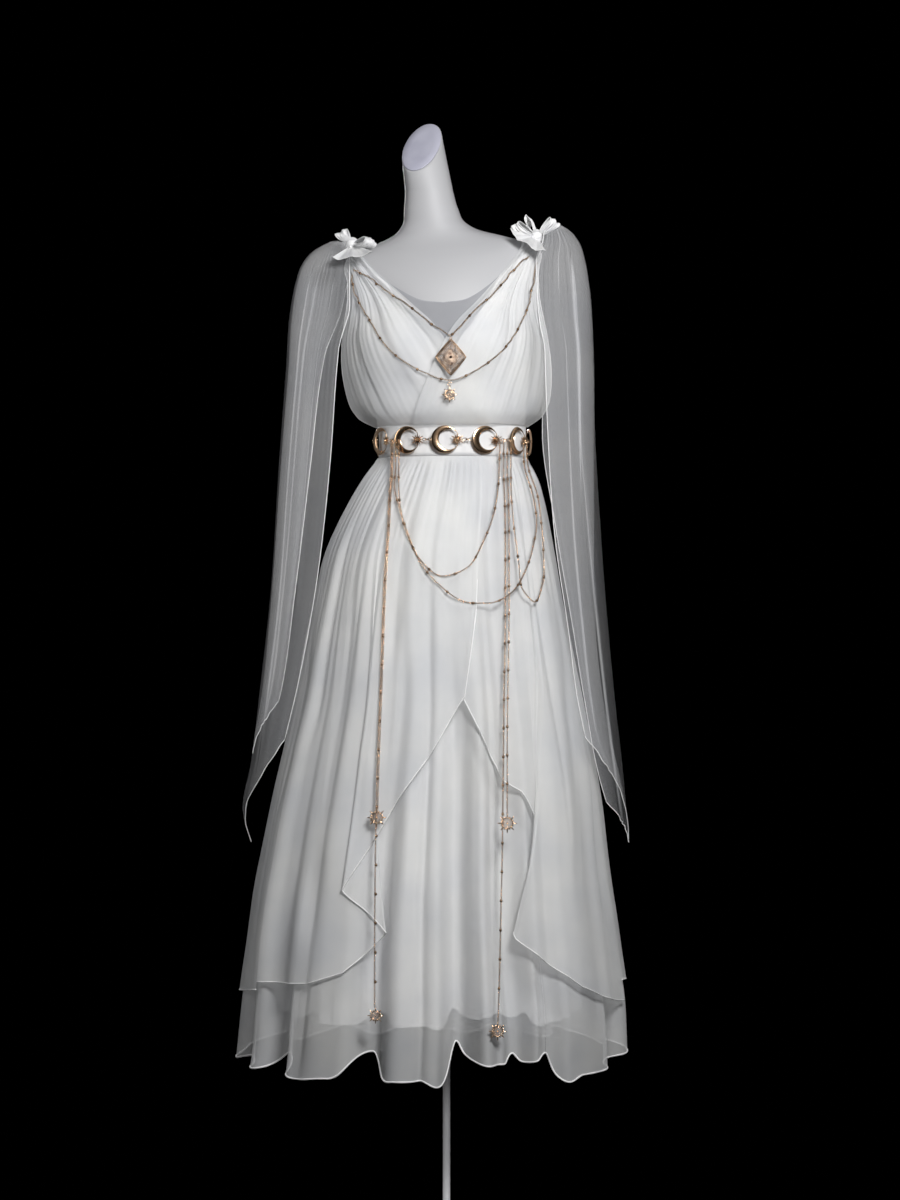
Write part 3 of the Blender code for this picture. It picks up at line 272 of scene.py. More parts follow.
def solid_from_rings(name, rings, finish, slot):
    """Closed solid through rings of points, with its ends filled and its faces turned outward."""
    piece = add_piece(name, *rings_shape(rings), finish, slot)
    if sum(face.center.dot(face.normal) * face.area for face in piece.data.polygons) < 0:
        piece.data.flip_normals()
    return piece


print("wire and solid helpers ready")

# %% [markdown]
# ## Finishes
# Sheer cloth is a shader with less than full alpha: the black behind it shows through, and two layers
# look denser than one. A weave of fine threads goes into its bump, and a slow uneven noise goes into its
# colour as painted shade, standing for organza that never lies quite flat. Sheen gives the pale glow
# along edges and folds.
# The form is satin moulded plastic, the jewellery is polished plate with a rose tint. Each finish is a row
# of a table.

# %% Shader helpers
def new_finish(name, colour, roughness, metallic=0.0, alpha=1.0, sheen=0.0, coat=0.0):
    """A material with one Principled shader. Plain numbers go on its sockets."""
    made = bpy.data.materials.new(name)
    made.use_nodes = True
    settings = {
        "Base Color": (*colour, 1.0), "Roughness": roughness, "Metallic": metallic, "Alpha": alpha,
        "Sheen Weight": sheen, "Sheen Roughness": 0.4, "Coat Weight": coat, "Coat Roughness": 0.08,
    }
    for socket, value in settings.items():
        made.node_tree.nodes["Principled BSDF"].inputs[socket].default_value = value
    return made


def add_node(tree, kind, links=(), **values):
    """Adds a node, sets its sockets and joins (output, input) pairs."""
    node = tree.nodes.new(kind)
    for key, value in values.items():
        if key in node.inputs:
            node.inputs[key].default_value = value
        else:
            setattr(node, key, value)
    for source, target in links:
        tree.links.new(source, node.inputs[target])
    return node


def noise(tree, scale, detail):
    """A noise over the object's own space."""
    place = add_node(tree, "ShaderNodeTexCoord")
    links = [(place.outputs["Object"], "Vector")]
    return add_node(tree, "ShaderNodeTexNoise", links, Scale=scale, Detail=detail).outputs["Fac"]


def two_tone(tree, field, low, high):
    """Colour that slides from low to high with a field, over the middle of its range."""
    ramp = add_node(tree, "ShaderNodeValToRGB", [(field, "Fac")])
    for element, place, colour in zip(ramp.color_ramp.elements, (0.35, 0.65), (low, high)):
        element.position = place
        element.color = (*colour, 1.0)
    tree.links.new(ramp.outputs["Color"], tree.nodes["Principled BSDF"].inputs["Base Color"])


def give_relief(tree, height, strength, depth):
    """Bump from a height, as deep as depth where it is 1."""
    bump = add_node(tree, "ShaderNodeBump", [(height, "Height")], Strength=strength, Distance=depth)
    tree.links.new(bump.outputs["Normal"], tree.nodes["Principled BSDF"].inputs["Normal"])


def woven(tree, thread, depth, low, high, cloud):
    """Threads that cross: two wave bands over the UV lengths, one along each axis, added and turned into
    bump. The colour follows a slow noise over the piece, painted shade for cloth that never lies quite
    flat."""
    lengths = add_node(tree, "ShaderNodeUVMap", uv_map="threads")
    bands = [
        add_node(
            tree, "ShaderNodeTexWave", [(lengths.outputs["UV"], "Vector")], bands_direction=direction,
            Scale=0.5 / thread, Distortion=0.6, Detail=1.0,
        ).outputs["Fac"]
        for direction in ("X", "Y")
    ]
    both = add_node(tree, "ShaderNodeMath", [(bands[0], 0), (bands[1], 1)], operation="ADD")
    give_relief(tree, both.outputs["Value"], 0.5, depth)
    two_tone(tree, noise(tree, cloud, 3.0), low, high)


def grained(tree, scale, depth, low, high):
    """Hard surfaces: a slow noise over the place colours them, and a finer one makes slight relief."""
    give_relief(tree, noise(tree, scale * 30, 2.0), 0.3, depth)
    two_tone(tree, noise(tree, scale, 2.0), low, high)


print("shader helpers ready")

# %% [markdown]
# ## Table of finishes
# Organza, tulle and satin are woven of other threads, so each row gives the thread, the relief and the
# sheen of one cloth. Metals, stone and the form have a grain instead of threads. In a table the values of
# all finishes stand side by side, where they are easy to compare and to adjust.

# %% Finishes
FINISH = {}
CLOTH_FINISHES = (
    # name, colour, roughness, alpha, sheen, thread and relief in mm, painted shade low and high, its scale
    ("organza", (0.80, 0.80, 0.80), 0.6, 0.51, 0.3, 0.7, 0.12, (0.74, 0.75, 0.77), (0.86, 0.86, 0.85), 9),
    ("tulle", (0.80, 0.81, 0.83), 0.6, 0.20, 0.3, 1.2, 0.15, (0.76, 0.77, 0.80), (0.86, 0.86, 0.87), 9),
    ("satin_lining", (0.80, 0.80, 0.80), 0.45, 1, 0.2, 0.5, 0.06, (0.77, 0.77, 0.79), (0.84, 0.84, 0.83), 9),
    # band satin: a darker copy of the lining satin, painted shade where the front lamp meets the band
    # squarely
    ("band_satin", (0.68, 0.68, 0.69), 0.45, 1, 0.2, 0.6, 0.08, (0.64, 0.64, 0.65), (0.72, 0.72, 0.72), 30),
    # inset organza: its dark grey is painted shade in the V of the neckline
    ("inset_organza", (0.30, 0.305, 0.325), 0.6, 0.80, 0.1, 0.7, 0.10,
     (0.28, 0.285, 0.305), (0.33, 0.335, 0.355), 9),
    ("rolled_hem", (0.80, 0.80, 0.80), 0.45, 1, 0.2, 1.1, 0.12, (0.74, 0.74, 0.75), (0.86, 0.86, 0.85), 60),
    ("bow_cloth", (0.78, 0.78, 0.78), 0.5, 0.93, 0.2, 0.6, 0.08, (0.72, 0.72, 0.74), (0.84, 0.84, 0.83), 30),
)
for name, colour, roughness, alpha, sheen, thread, depth, low, high, cloud in CLOTH_FINISHES:
    FINISH[name] = new_finish(name, colour, roughness, alpha=alpha, sheen=sheen)
    woven(FINISH[name].node_tree, thread / 1000, depth / 1000, low, high, cloud)

HARD_FINISHES = (
    # name, colour, roughness, metallic, coat, scale of the low and high colours, relief in mm, low, high
    ("form_gloss", (0.42, 0.42, 0.43), 0.55, 0, 0, 4, 0.02, (0.395, 0.395, 0.408), (0.425, 0.425, 0.435)),
    ("neck_cap_grey", (0.42, 0.42, 0.50), 0.35, 0, 0, 20, 0.03, (0.38, 0.38, 0.46), (0.46, 0.46, 0.54)),
    ("rose_gold", (0.72, 0.49, 0.31), 0.22, 1, 0, 60, 0.02, (0.60, 0.39, 0.24), (0.82, 0.59, 0.39)),
    ("dark_gold", (0.24, 0.15, 0.09), 0.40, 1, 0, 90, 0.03, (0.14, 0.085, 0.05), (0.36, 0.24, 0.15)),
    ("old_gold", (0.42, 0.30, 0.20), 0.34, 1, 0, 90, 0.03, (0.32, 0.22, 0.14), (0.54, 0.40, 0.28)),
    ("lace_gold", (0.34, 0.25, 0.18), 0.42, 1, 0, 200, 0.04, (0.18, 0.12, 0.09), (0.52, 0.40, 0.31)),
    ("chrome", (0.80, 0.80, 0.82), 0.45, 0.5, 0, 12, 0.01, (0.76, 0.76, 0.78), (0.84, 0.84, 0.86)),
    ("dark_stone", (0.03, 0.02, 0.02), 0.12, 0, 0.5, 300, 0.01, (0.02, 0.015, 0.015), (0.06, 0.04, 0.03)),
    ("floor", (0.78, 0.77, 0.76), 0.6, 0, 0, 8, 0.05, (0.74, 0.73, 0.72), (0.80, 0.79, 0.78)),
)
for name, colour, roughness, metallic, coat, scale, depth, low, high in HARD_FINISHES:
    FINISH[name] = new_finish(name, colour, roughness, metallic, coat=coat)
    grained(FINISH[name].node_tree, scale, depth / 1000, low, high)
print("finishes:", list(FINISH))

# %% [markdown]
# ## Camera, floor and light
# The photograph is level and taken from about five metres, which a 92 mm lens on a 36 mm frame gives.
# A pale round of floor carries the stand. Everything behind stays black, so the sheer cloth reads
# against it. A soft lamp stands in front and above, a weaker one on each side, and one lights the back.

# %% Camera, floor, lamps
EYE_X, EYE_DISTANCE, EYE_HEIGHT = 0.0057, 5.0, 1.040
camera_data = bpy.data.cameras.new("camera")
camera_data.lens = 92.0
camera = bpy.data.objects.new("camera", camera_data)
camera.location = (EYE_X, -EYE_DISTANCE, EYE_HEIGHT)
camera.rotation_euler = (math.radians(90), 0, 0)
bpy.context.scene.collection.objects.link(camera)
bpy.context.scene.camera = camera

FLOOR_RADIUS = 0.31
FLOOR_SIDES = 96
floor_mesh = bpy.data.meshes.new("floor")
floor_edge = ellipse(FLOOR_RADIUS, FLOOR_RADIUS, full_turn(FLOOR_SIDES))
floor_mesh.from_pydata(floor_edge.tolist(), [], [list(range(FLOOR_SIDES))])
floor_mesh.materials.append(FINISH["floor"])
floor = bpy.data.objects.new("floor", floor_mesh)
bpy.context.scene.collection.objects.link(floor)

world = bpy.data.worlds.new("dark studio")
world.use_nodes = True
world.node_tree.nodes["Background"].inputs["Color"].default_value = (0.0, 0.0, 0.0, 1.0)
bpy.context.scene.world = world
bpy.context.scene.view_settings.view_transform = "Standard"


def lamp(name, place, target, size, power):
    """A rectangular soft lamp that looks at a target."""
    data = bpy.data.lights.new(name, "AREA")
    data.shape = "RECTANGLE"
    data.size, data.size_y = size
    data.energy = power
    made = bpy.data.objects.new(name, data)
    made.location = place
    made.rotation_euler = (Vector(target) - Vector(place)).to_track_quat("-Z", "Y").to_euler()
    made.visible_camera = False
    bpy.context.scene.collection.objects.link(made)


lamp("key", (0.66, -2.12, 2.15), (0, 0, 1.15), (0.6, 0.6), 70)
lamp("left", (-2.3, -0.5, 1.7), (0, 0, 1.1), (0.6, 1.4), 12)
lamp("right", (2.3, 0.3, 1.8), (0, 0, 1.2), (0.6, 1.4), 2)
lamp("back", (-0.5, 2.6, 2.0), (0, 0, 1.1), (0.8, 0.8), 45)
print("camera at", tuple(round(v, 3) for v in camera.location), "lens", camera_data.lens)

# %% [markdown]
# ## The form
# A dress form is moulded in one piece and polished: a smooth torso without limbs whose neck is cut off on
# a slant and closed with a grey cap. Its sections are ellipses, so the surface is one loop of ellipses
# whose half axes come from a table of heights, and the last rings slide over to the slanted cut.

# %% Form
FORM_SECTIONS = np.array([
    # height, middle, half_width, front, back, lean
    (1.000, 0.0080, 0.1240, 0.0960, 0.1000, 0.00),
    (1.035, 0.0080, 0.1300, 0.1020, 0.1060, 0.00),
    (1.090, 0.0080, 0.1330, 0.1060, 0.1080, 0.00),
    (1.150, 0.0080, 0.1290, 0.1030, 0.1040, 0.00),
    (1.200, 0.0090, 0.1230, 0.0960, 0.0970, 0.00),
    (1.236, 0.0095, 0.1180, 0.0900, 0.0900, 0.00),
    (1.270, 0.0098, 0.1168, 0.0868, 0.0868, 0.00),
    (1.300, 0.0098, 0.1160, 0.0860, 0.0860, 0.00),
    (1.330, 0.0075, 0.1180, 0.0880, 0.0880, 0.00),
    (1.370, 0.0040, 0.1240, 0.0940, 0.0940, 0.00),
    (1.420, 0.0000, 0.1330, 0.1010, 0.1020, 0.00),
    (1.470, -0.003, 0.1390, 0.1030, 0.1060, 0.00),
    (1.520, -0.005, 0.1450, 0.0960, 0.1040, 0.02),
    (1.560, -0.006, 0.1510, 0.0840, 0.0960, 0.05),
    (1.590, -0.006, 0.1530, 0.0700, 0.0820, 0.07),
    (1.606, -0.007, 0.1460, 0.0600, 0.0700, 0.07),
    (1.618, -0.009, 0.1280, 0.0520, 0.0600, 0.07),
    (1.628, -0.012, 0.1000, 0.0470, 0.0530, 0.07),
    (1.638, -0.015, 0.0720, 0.0440, 0.0490, 0.06),
    (1.652, -0.020, 0.0530, 0.0420, 0.0460, 0.04),
    (1.677, -0.025, 0.0440, 0.0400, 0.0430, 0.02),
    (1.705, -0.028, 0.0390, 0.0380, 0.0400, 0.00),
])
NECK_CUT_CENTRE = np.array((-0.040, -0.002, 1.777))
NECK_CUT_RADIUS, NECK_CUT_RISE_X, NECK_CUT_RISE_Y = 0.0325, 0.52, 1.22
SEAM = 0.0004


def form_point(angle, height, out=0.0):
    """A point of the form: middle + half cos a across, front or back depth times sin a in depth."""
    turn = np.radians(angle)
    middle, half, front, back, lean = (curve_through(FORM_SECTIONS, height, c) for c in range(1, 6))
    depth = np.where(np.sin(turn) < 0, front, back) + out
    x = middle + (half + out) * np.cos(turn)
    return np.stack([x, depth * np.sin(turn), height + lean * x + 0 * turn], axis=-1)


def form_surface(angle, height, out):
    """As form_point, but moved out along the surface's own normal."""
    angle, height = np.broadcast_arrays(np.asarray(angle, float), np.asarray(height, float))
    here = form_point(angle, height)
    round_it = form_point(angle + 0.5, height) - form_point(angle - 0.5, height)
    up = form_point(angle, height + 0.001) - form_point(angle, height - 0.001)
    return here + unit(np.cross(round_it, up)) * np.asarray(out)[..., None]


def neck_cut_ring(angles, share=1.0):
    """The slanted ellipse at the top of the neck, shrunk toward its centre by share."""
    turn = np.radians(angles)
    x = share * NECK_CUT_RADIUS * np.cos(turn)
    y = share * NECK_CUT_RADIUS * np.sin(turn)
    return np.stack([x, y, NECK_CUT_RISE_X * x + NECK_CUT_RISE_Y * y], axis=-1) + NECK_CUT_CENTRE


form_angles = spread(97, 0, 360)[:-1]
levels = np.concatenate([spread(70, 1.000, 1.590), spread(45, 1.592, 1.705)])
rings = form_point(form_angles[None, :], levels[:, None])
rim = neck_cut_ring(form_angles)
neck = rings[-1] + (rim - rings[-1]) * spread(16)[1:, None, None]
round_over = np.array([neck_cut_ring(form_angles, share) for share in (0.988, 0.970)])
torso = solid_from_rings(
    "form_body", np.concatenate([rings, neck, round_over]), FINISH["form_gloss"], "form_white"
)
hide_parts("form_torso")
NECK_CAP_STEPS = (
    # share of the neck's cut, lift above it
    (0.968, 0.0000),
    (0.975, 0.0005),
    (0.975, 0.0015),
    (0.960, 0.0020),
    (0.600, 0.0023),
    (0.150, 0.0024),
)
cap_facing = unit(np.array([-NECK_CUT_RISE_X, -NECK_CUT_RISE_Y, 1.0]))
cap_rings = np.array([
    neck_cut_ring(form_angles, share) + cap_facing * (SEAM + lift) for share, lift in NECK_CAP_STEPS
])
neck_cap = solid_from_rings("neck_cap_cover", cap_rings, FINISH["neck_cap_grey"], "form_grey")
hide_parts("neck_cap")
print("form:", len(torso.data.polygons), "faces")

# %% [markdown]
# ## Stand
# The pole is drawn chrome tube that screws into a disc under the form and into a collar on the base.
# The base's own solid is already exact, so it keeps its shape and takes the chrome finish.

# %% Stand finish
for name in ("pole_socket", "stand_pole", "stand_base"):
    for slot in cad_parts[name].material_slots:
        slot.material = FINISH["chrome"]
print("stand finished")

# %% [markdown]
# ## Skirt
# The skirt is cut nearly in a circle and gathered into the waistband. Its outline comes from a table of
# heights. Each hollow between two folds is a bell curve round the body that deepens toward the hem. Small
# gathers start at the waistband and fade out. Between the big folds lie soft troughs and ridges of uneven
# length and depth, which run down the cloth and drift a little to the side.

# %% Skirt shape
BAND_TOP, BAND_BOTTOM, BAND_THICK, BAND_OUT, BELT_HEIGHT = 1.323, 1.271, 0.0026, 0.0013, 1.297
BODICE_BOTTOM, SKIRT_HEM, LINING_HEM = 1.3215, 0.292, 0.375
SKIRT_SECTIONS = np.array([
    # height, middle, half_width, half_depth
    (0.292, -0.0245, 0.3200, 0.2740),
    (0.388, -0.0220, 0.3125, 0.2660),
    (0.470, -0.0225, 0.3010, 0.2570),
    (0.551, -0.0225, 0.2895, 0.2470),
    (0.633, -0.0200, 0.2765, 0.2360),
    (0.714, -0.0170, 0.2635, 0.2240),
    (0.796, -0.0145, 0.2470, 0.2110),
    (0.877, -0.0125, 0.2300, 0.1980),
    (0.959, -0.0135, 0.2140, 0.1840),
    (1.040, -0.0130, 0.1970, 0.1700),
    (1.122, -0.0100, 0.1795, 0.1530),
    (1.203, 0.0010, 0.1515, 0.1240),
    (1.236, 0.0060, 0.1370, 0.1070),
    (1.270, 0.0098, 0.1200, 0.0900),
])
SKIRT_HOLLOWS = np.array([
    # angle, depth at the hem, half_width
    (-168.0, 0.018, 9.0),
    (-145.0, 0.034, 6.5),
    (-109.0, 0.034, 5.0),
    (-81.5, 0.048, 5.0),
    (-63.0, 0.034, 4.5),
    (-53.0, 0.018, 4.0),
    (-16.0, 0.022, 9.0),
    (14.0, 0.030, 8.0),
    (41.0, 0.036, 7.0),
    (67.0, 0.030, 7.5),
    (94.0, 0.040, 7.0),
    (121.0, 0.028, 8.0),
    (150.0, 0.036, 7.5),
])
SKIRT_HEM_LINE = np.array([
    # angle, height of the hem: it dips at each fold and lifts in the hollows
    (-180.0, 0.2935), (-168.0, 0.3040), (-160.0, 0.2935), (-151.5, 0.2970), (-145.0, 0.3202),
    (-140.0, 0.3006), (-120.5, 0.2953), (-117.0, 0.3019), (-112.5, 0.3303), (-109.0, 0.3348),
    (-104.8, 0.2993), (-100.0, 0.2958), (-93.0, 0.2968), (-85.0, 0.3014), (-81.8, 0.3504),
    (-79.0, 0.3308), (-75.5, 0.3199), (-70.0, 0.3184), (-65.5, 0.3207), (-63.0, 0.3300),
    (-60.0, 0.3169), (-55.5, 0.3240), (-53.0, 0.3300), (-50.0, 0.2959), (-41.5, 0.2930),
    (-28.0, 0.2946), (-16.0, 0.3000), (0.0, 0.3060), (14.0, 0.3220), (27.0, 0.2980),
    (41.0, 0.3250), (54.0, 0.2960), (67.0, 0.3200), (80.0, 0.2970), (94.0, 0.3280),
    (107.0, 0.2960), (121.0, 0.3200), (135.0, 0.2960), (150.0, 0.3240), (165.0, 0.2970),
    (180.0, 0.2935),
])
WAIST_GATHERS, GATHER_DEPTH, SMALL_GATHER_DEPTH, HOLLOW_MORE = 20, 0.0022, 0.0030, 1.35
SKIRT_CREASES = np.array([
    # angle, rise above the outline at the hem, half_width
    (-127.0, 0.004, 6.0),
    (-98.7, 0.005, 3.5),
    (-93.2, -0.008, 1.5),
    (-87.7, 0.005, 3.0),
    (-75.2, 0.005, 3.0),
    (-70.1, -0.010, 2.0),
])
SKIRT_PANELS = (
    # name, first angle, last angle, columns
    ("skirt_front", -133.5, -53.0, 220),
    ("skirt_right_side", -53.0, 14.0, 150),
    ("skirt_back", 14.0, 150.0, 300),
    ("skirt_left_side", 150.0, 226.5, 170),
)
print("skirt hollows:", len(SKIRT_HOLLOWS), "creases by hand:", len(SKIRT_CREASES))


# %% [markdown]
# ## Folds and creases of the skirt
# Cloth gathered at a waist falls in a few deep folds with many shallow creases between them. A cloth
# simulation could make some, but not in the places where this skirt has them. So each fold is a depth
# that depends on angle and height, taken off the outline, and all layers follow the same main creases.

# %% Skirt folds and creases
def fan_creases(angle, height, seed, count, depth, thin=0.9, thick=2.6):
    """Narrow troughs and ridges that start at the waist and spread as the skirt widens: each is a bell
    curve across, with its own place, width, sign and stretch of height, all from a seeded generator."""
    draw = np.random.default_rng(seed)
    total = np.zeros(np.broadcast(angle, height).shape)
    for _ in range(count):
        where = draw.uniform(-180, 180)
        width = draw.uniform(thin, thick)
        drift = draw.uniform(-5, 5)
        low = draw.uniform(0.20, 1.0)
        high = draw.uniform(low + 0.15, 1.45)
        strength = draw.uniform(0.4, 1.0) * draw.choice((-1.0, -1.0, 0.8))
        away = (angle - where - drift * (BAND_BOTTOM - height) + 180) % 360 - 180
        span = window(low, low + 0.12, high - 0.12, high, height)
        total = total + strength * span * np.exp(-(away / width) ** 2)
    return depth * total


def skirt_folds(angle, height):
    """Depth inside the outline: big hollows that deepen to the hem, and gathers near the waist."""
    down = np.clip((BAND_BOTTOM - height) / (BAND_BOTTOM - SKIRT_HEM), 0, 1)
    hollow = np.zeros(np.broadcast(angle, height).shape)
    for where, depth, half_width in SKIRT_HOLLOWS:
        away = (angle - where + 180) % 360 - 180
        hollow = hollow - HOLLOW_MORE * depth * np.exp(-np.abs(away / half_width) ** 3)
    drop = np.maximum(BAND_BOTTOM - height, 0)
    gather = GATHER_DEPTH * np.cos(np.radians(WAIST_GATHERS * angle)) - GATHER_DEPTH
    return hollow * down ** 1.15 + gather * (1 - np.exp(-drop / 0.012)) * np.exp(-drop / 0.10)


def skirt_point(angle, height, out, fold=1.0):
    """A point of the skirt, moved out square to its outline; fold is the share of the folds it keeps."""
    angle, height, out = np.broadcast_arrays(
        np.asarray(angle, float), np.asarray(height, float), np.asarray(out, float)
    )
    turn = np.radians(angle)
    middle, half, depth = (curve_through(SKIRT_SECTIONS, height, c) for c in range(1, 4))
    normal_x, normal_y = depth * np.cos(turn), half * np.sin(turn)
    size = np.hypot(normal_x, normal_y)
    move = skirt_folds(angle, height) * fold + out
    x = middle + half * np.cos(turn) + normal_x / size * move
    y = depth * np.sin(turn) + normal_y / size * move
    return np.stack([x, y, height], axis=-1)


def small_gathers(angle, height, seed):
    """Fine uneven gathers under the waistband, fading within a hand's width."""
    drop = np.maximum(BAND_BOTTOM - height, 0)
    fine = uneven(angle / 360, drop, seed, 80, 2.0)
    return SMALL_GATHER_DEPTH * fine * (1 - np.exp(-drop / 0.008)) * np.exp(-drop / 0.075)


def shared_creases(angle, height):
    """The creases that every layer of the skirt follows, so that the layers lie in each other: the ones
    that show in front, wide soft troughs, narrower ones between them, and gathers under the waistband."""
    drop = BAND_BOTTOM - height
    main = sum(rise * np.exp(-((angle - where) / wide) ** 2) for where, rise, wide in SKIRT_CREASES)
    wide = fan_creases(angle, height, 11, 40, 0.0080, 3.0, 6.5)
    narrow = fan_creases(angle, height, 12, 70, 0.0024, 1.1, 2.4)
    total = main * smooth_step(0.0, 0.7, drop) + wide + narrow + small_gathers(angle, height, 5)
    return total * smooth_step(0.0, 0.02, drop)


def skirt_cloth_point(angle, height):
    """The finished skirt: its folds and the creases of all its layers."""
    return skirt_point(angle, height, shared_creases(angle, height))


def hem_height(angle):
    """The hem's height at an angle."""
    return curve_through(SKIRT_HEM_LINE, (angle + 180) % 360 - 180, 1)


skirt_top = BAND_BOTTOM - SEAM
skirt_down = spread(130)[:, None] ** 1.1
for name, start, end, columns in SKIRT_PANELS:
    angles = spread(columns, start + 0.03, end - 0.03)
    grid = skirt_cloth_point(angles[None, :], skirt_top - (skirt_top - hem_height(angles)) * skirt_down)
    sheet = panel(f"{name}_cloth", grid, FINISH["organza"], "organza")
    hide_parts(name)
    print(name, "grid:", grid.shape)

# %% [markdown]
# ## Skirt lining
# An opaque satin lining hangs inside and ends a hand's width above the hem. It is cut narrower than the
# skirt, so it has only shallow folds of its own and stays inside the deepest hollow of the skirt.

# %% Skirt lining
LINING_IN, LINING_CLEAR, LINING_RIPPLE, LINING_FOLD = 0.0016, 0.0040, 0.010, 0.5
LINING_TOP, LINING_DIP, HEM_MIDDLE = BAND_BOTTOM - 0.0024, 0.5, 0.305


def lining_point(angle, height):
    """Smooth tube inside the deepest hollow, with shallow folds that point inward only."""
    deepest = skirt_folds(SKIRT_HOLLOWS[3, 0], height)
    inside = LINING_IN + LINING_CLEAR * smooth_step(0.0, 0.05, BAND_BOTTOM - height)
    drop = BAND_BOTTOM - height
    ripple = 0.5 + 0.5 * uneven(angle / 360, drop, 23, 22, 1.5)
    inward = np.clip(ripple, 0, 1.2) * LINING_RIPPLE * smooth_step(0.03, 0.7, drop)
    out = deepest - inside - inward + shared_creases(angle, height)
    return skirt_point(angle, height, out, LINING_FOLD)


lining_down = spread(60)[:, None]
for name, start, end in (("skirt_lining_front", -179.9, -0.1), ("skirt_lining_back", 0.1, 179.9)):
    angles = spread(200, start, end)[None, :]
    ends = LINING_HEM + LINING_DIP * (hem_height(angles) - HEM_MIDDLE)
    grid = lining_point(angles, LINING_TOP - (LINING_TOP - ends) * lining_down)
    sheet = panel(f"{name}_cloth", grid, FINISH["satin_lining"], "satin_lining")
    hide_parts(name)
    print(name, "grid:", grid.shape)

# %% [markdown]
# ## Overskirt
# A second layer of organza wraps the skirt. In front its two edges part and fall in a cascade: the hem
# runs up in steps, and at each step the cloth turns back under itself in a pleat. A table of key columns
# holds, from edge to edge, the angle at the waist, where the column meets the hem, and its layer there.
# Half layers are the turns of a pleat.

# %% Overskirt tables
OVERSKIRT_OUT, OVERSKIRT_TOP_OUT, OVERSKIRT_FOLD = 0.006, 0.0026, 0.45
PLEAT_STEP, TOP_STEP = 0.0035, 0.0006
OVERSKIRT_LEFT = np.array([
    # waist_angle, hem_x, hem_height, layer, steps_to_next
    (-154.50, -0.2991, 0.432, 0.0, 2),
    (-143.00, -0.2148, 0.440, 0.0, 2),
    (-133.00, -0.1586, 0.461, 0.0, 2),
    (-124.00, -0.0958, 0.521, 0.0, 1),
    (-123.00, -0.0935, 0.524, 0.5, 1),
    (-122.00, -0.0958, 0.527, 1.0, 3),
    (-118.50, -0.1550, 0.583, 1.0, 1),
    (-117.50, -0.1575, 0.588, 1.5, 1),
    (-116.50, -0.1550, 0.593, 2.0, 3),
    (-106.00, -0.0753, 0.728, 2.0, 2),
    (-97.00, -0.0255, 0.798, 2.0, 2),
    (-86.00, 0.0276, 0.890, 2.0, 2),
    (-69.50, 0.0434, 1.026, 2.0, 0),
])
OVERSKIRT_RIGHT = np.array([
    # waist_angle, hem_x, hem_height, layer, steps_to_next
    (-70.60, 0.0276, 0.884, 0.0, 2),
    (-64.00, 0.0573, 0.821, 0.0, 2),
    (-57.00, 0.0918, 0.758, 0.0, 2),
    (-50.50, 0.1184, 0.740, 0.0, 2),
    (-46.00, 0.1400, 0.700, 0.0, 1),
    (-44.50, 0.1425, 0.690, 0.5, 1),
    (-43.00, 0.1400, 0.680, 1.0, 2),
    (-40.00, 0.1130, 0.525, 1.0, 1),
    (-39.00, 0.1105, 0.518, 1.5, 1),
    (-38.00, 0.1130, 0.511, 2.0, 2),
    (-33.00, 0.1430, 0.483, 2.0, 1),
    (-28.00, 0.1665, 0.464, 2.0, 2),
    (-21.00, 0.2026, 0.434, 2.0, 2),
    (-14.00, 0.2523, 0.408, 1.2, 2),
    (-7.50, 0.2873, 0.393, 0.0, 0),
])


print("key columns:", len(OVERSKIRT_LEFT), "left,", len(OVERSKIRT_RIGHT), "right")

# %% [markdown]
# ## Sheets of the overskirt
# The overskirt hangs from the waist in two fronts and a back. Each is a grid whose columns run from the
# waist to their own place on the hem, with nine columns for each step between two key columns. A pleat
# needs no tool of its own: its columns turn back along the hem while the layer slides to the next one.

# %% Overskirt
def skirt_angle(x, height):
    """The angle at which the front of the skirt's outline lies at x."""
    middle = curve_through(SKIRT_SECTIONS, height, 1)
    half = curve_through(SKIRT_SECTIONS, height, 2)
    return -np.degrees(np.arccos(np.clip((x - middle) / half, -1, 1)))


def overskirt_sheet(name, waist, hem_angle, hem, layer, seed, count, depth):
    """A panel whose columns run from their waist angles to their own places on the hem, with creases of
    its own besides the skirt's."""
    down = spread(100)[:, None]
    heights = skirt_top + (hem - skirt_top) * down
    angles = waist + (hem_angle - waist) * down ** 1.6
    out = OVERSKIRT_TOP_OUT + (OVERSKIRT_OUT - OVERSKIRT_TOP_OUT) * smooth_step(0, 0.06, down)
    out = out + layer * (TOP_STEP + PLEAT_STEP * smooth_step(0.02, 0.36, down))
    creases = fan_creases(waist[None, :], heights, seed, count, depth) + shared_creases(angles, heights)
    grid = skirt_point(angles, heights, out + creases * smooth_step(0, 0.03, down), OVERSKIRT_FOLD)
    sheet = panel(f"{name}_cloth", grid, FINISH["organza"], "organza")
    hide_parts(name)
    print(name, "grid:", grid.shape)
    return grid


def overskirt_front(name, keys, seed):
    """A front panel, with nine columns for each step between its key columns."""
    steps = int(keys[:, 4].sum())
    stops = np.concatenate([[0], np.cumsum(keys[:-1, 4])])
    order = spread(steps * 9 + 1, 0, steps)
    waist, hem_x, hem, layer = (np.interp(order, stops, keys[:, c]) for c in range(4))
    return overskirt_sheet(name, waist, skirt_angle(hem_x, hem), hem, layer, seed, 90, 0.0011)


left_grid = overskirt_front("overskirt_front_left", OVERSKIRT_LEFT, 31)
right_grid = overskirt_front("overskirt_front_right", OVERSKIRT_RIGHT, 37)
back_angles = spread(300, -7.4, 205.4)
back_hem = 0.414 + 0.012 * np.cos(np.radians(back_angles * 3 + 40))
back_grid = overskirt_sheet("overskirt_back", back_angles, back_angles, back_hem, 0, 41, 120, 0.0014)

# %% [markdown]
# ## Bodice
# Each half of the bodice is gathered into its shoulder knot and again at the waist. The front halves cross:
# the wearer's right one laps over. Between an armhole edge and a neck edge, both read from tables, the
# cloth blouses out over the waistband and rounds over the cups. Gathers fan out from the shoulder.

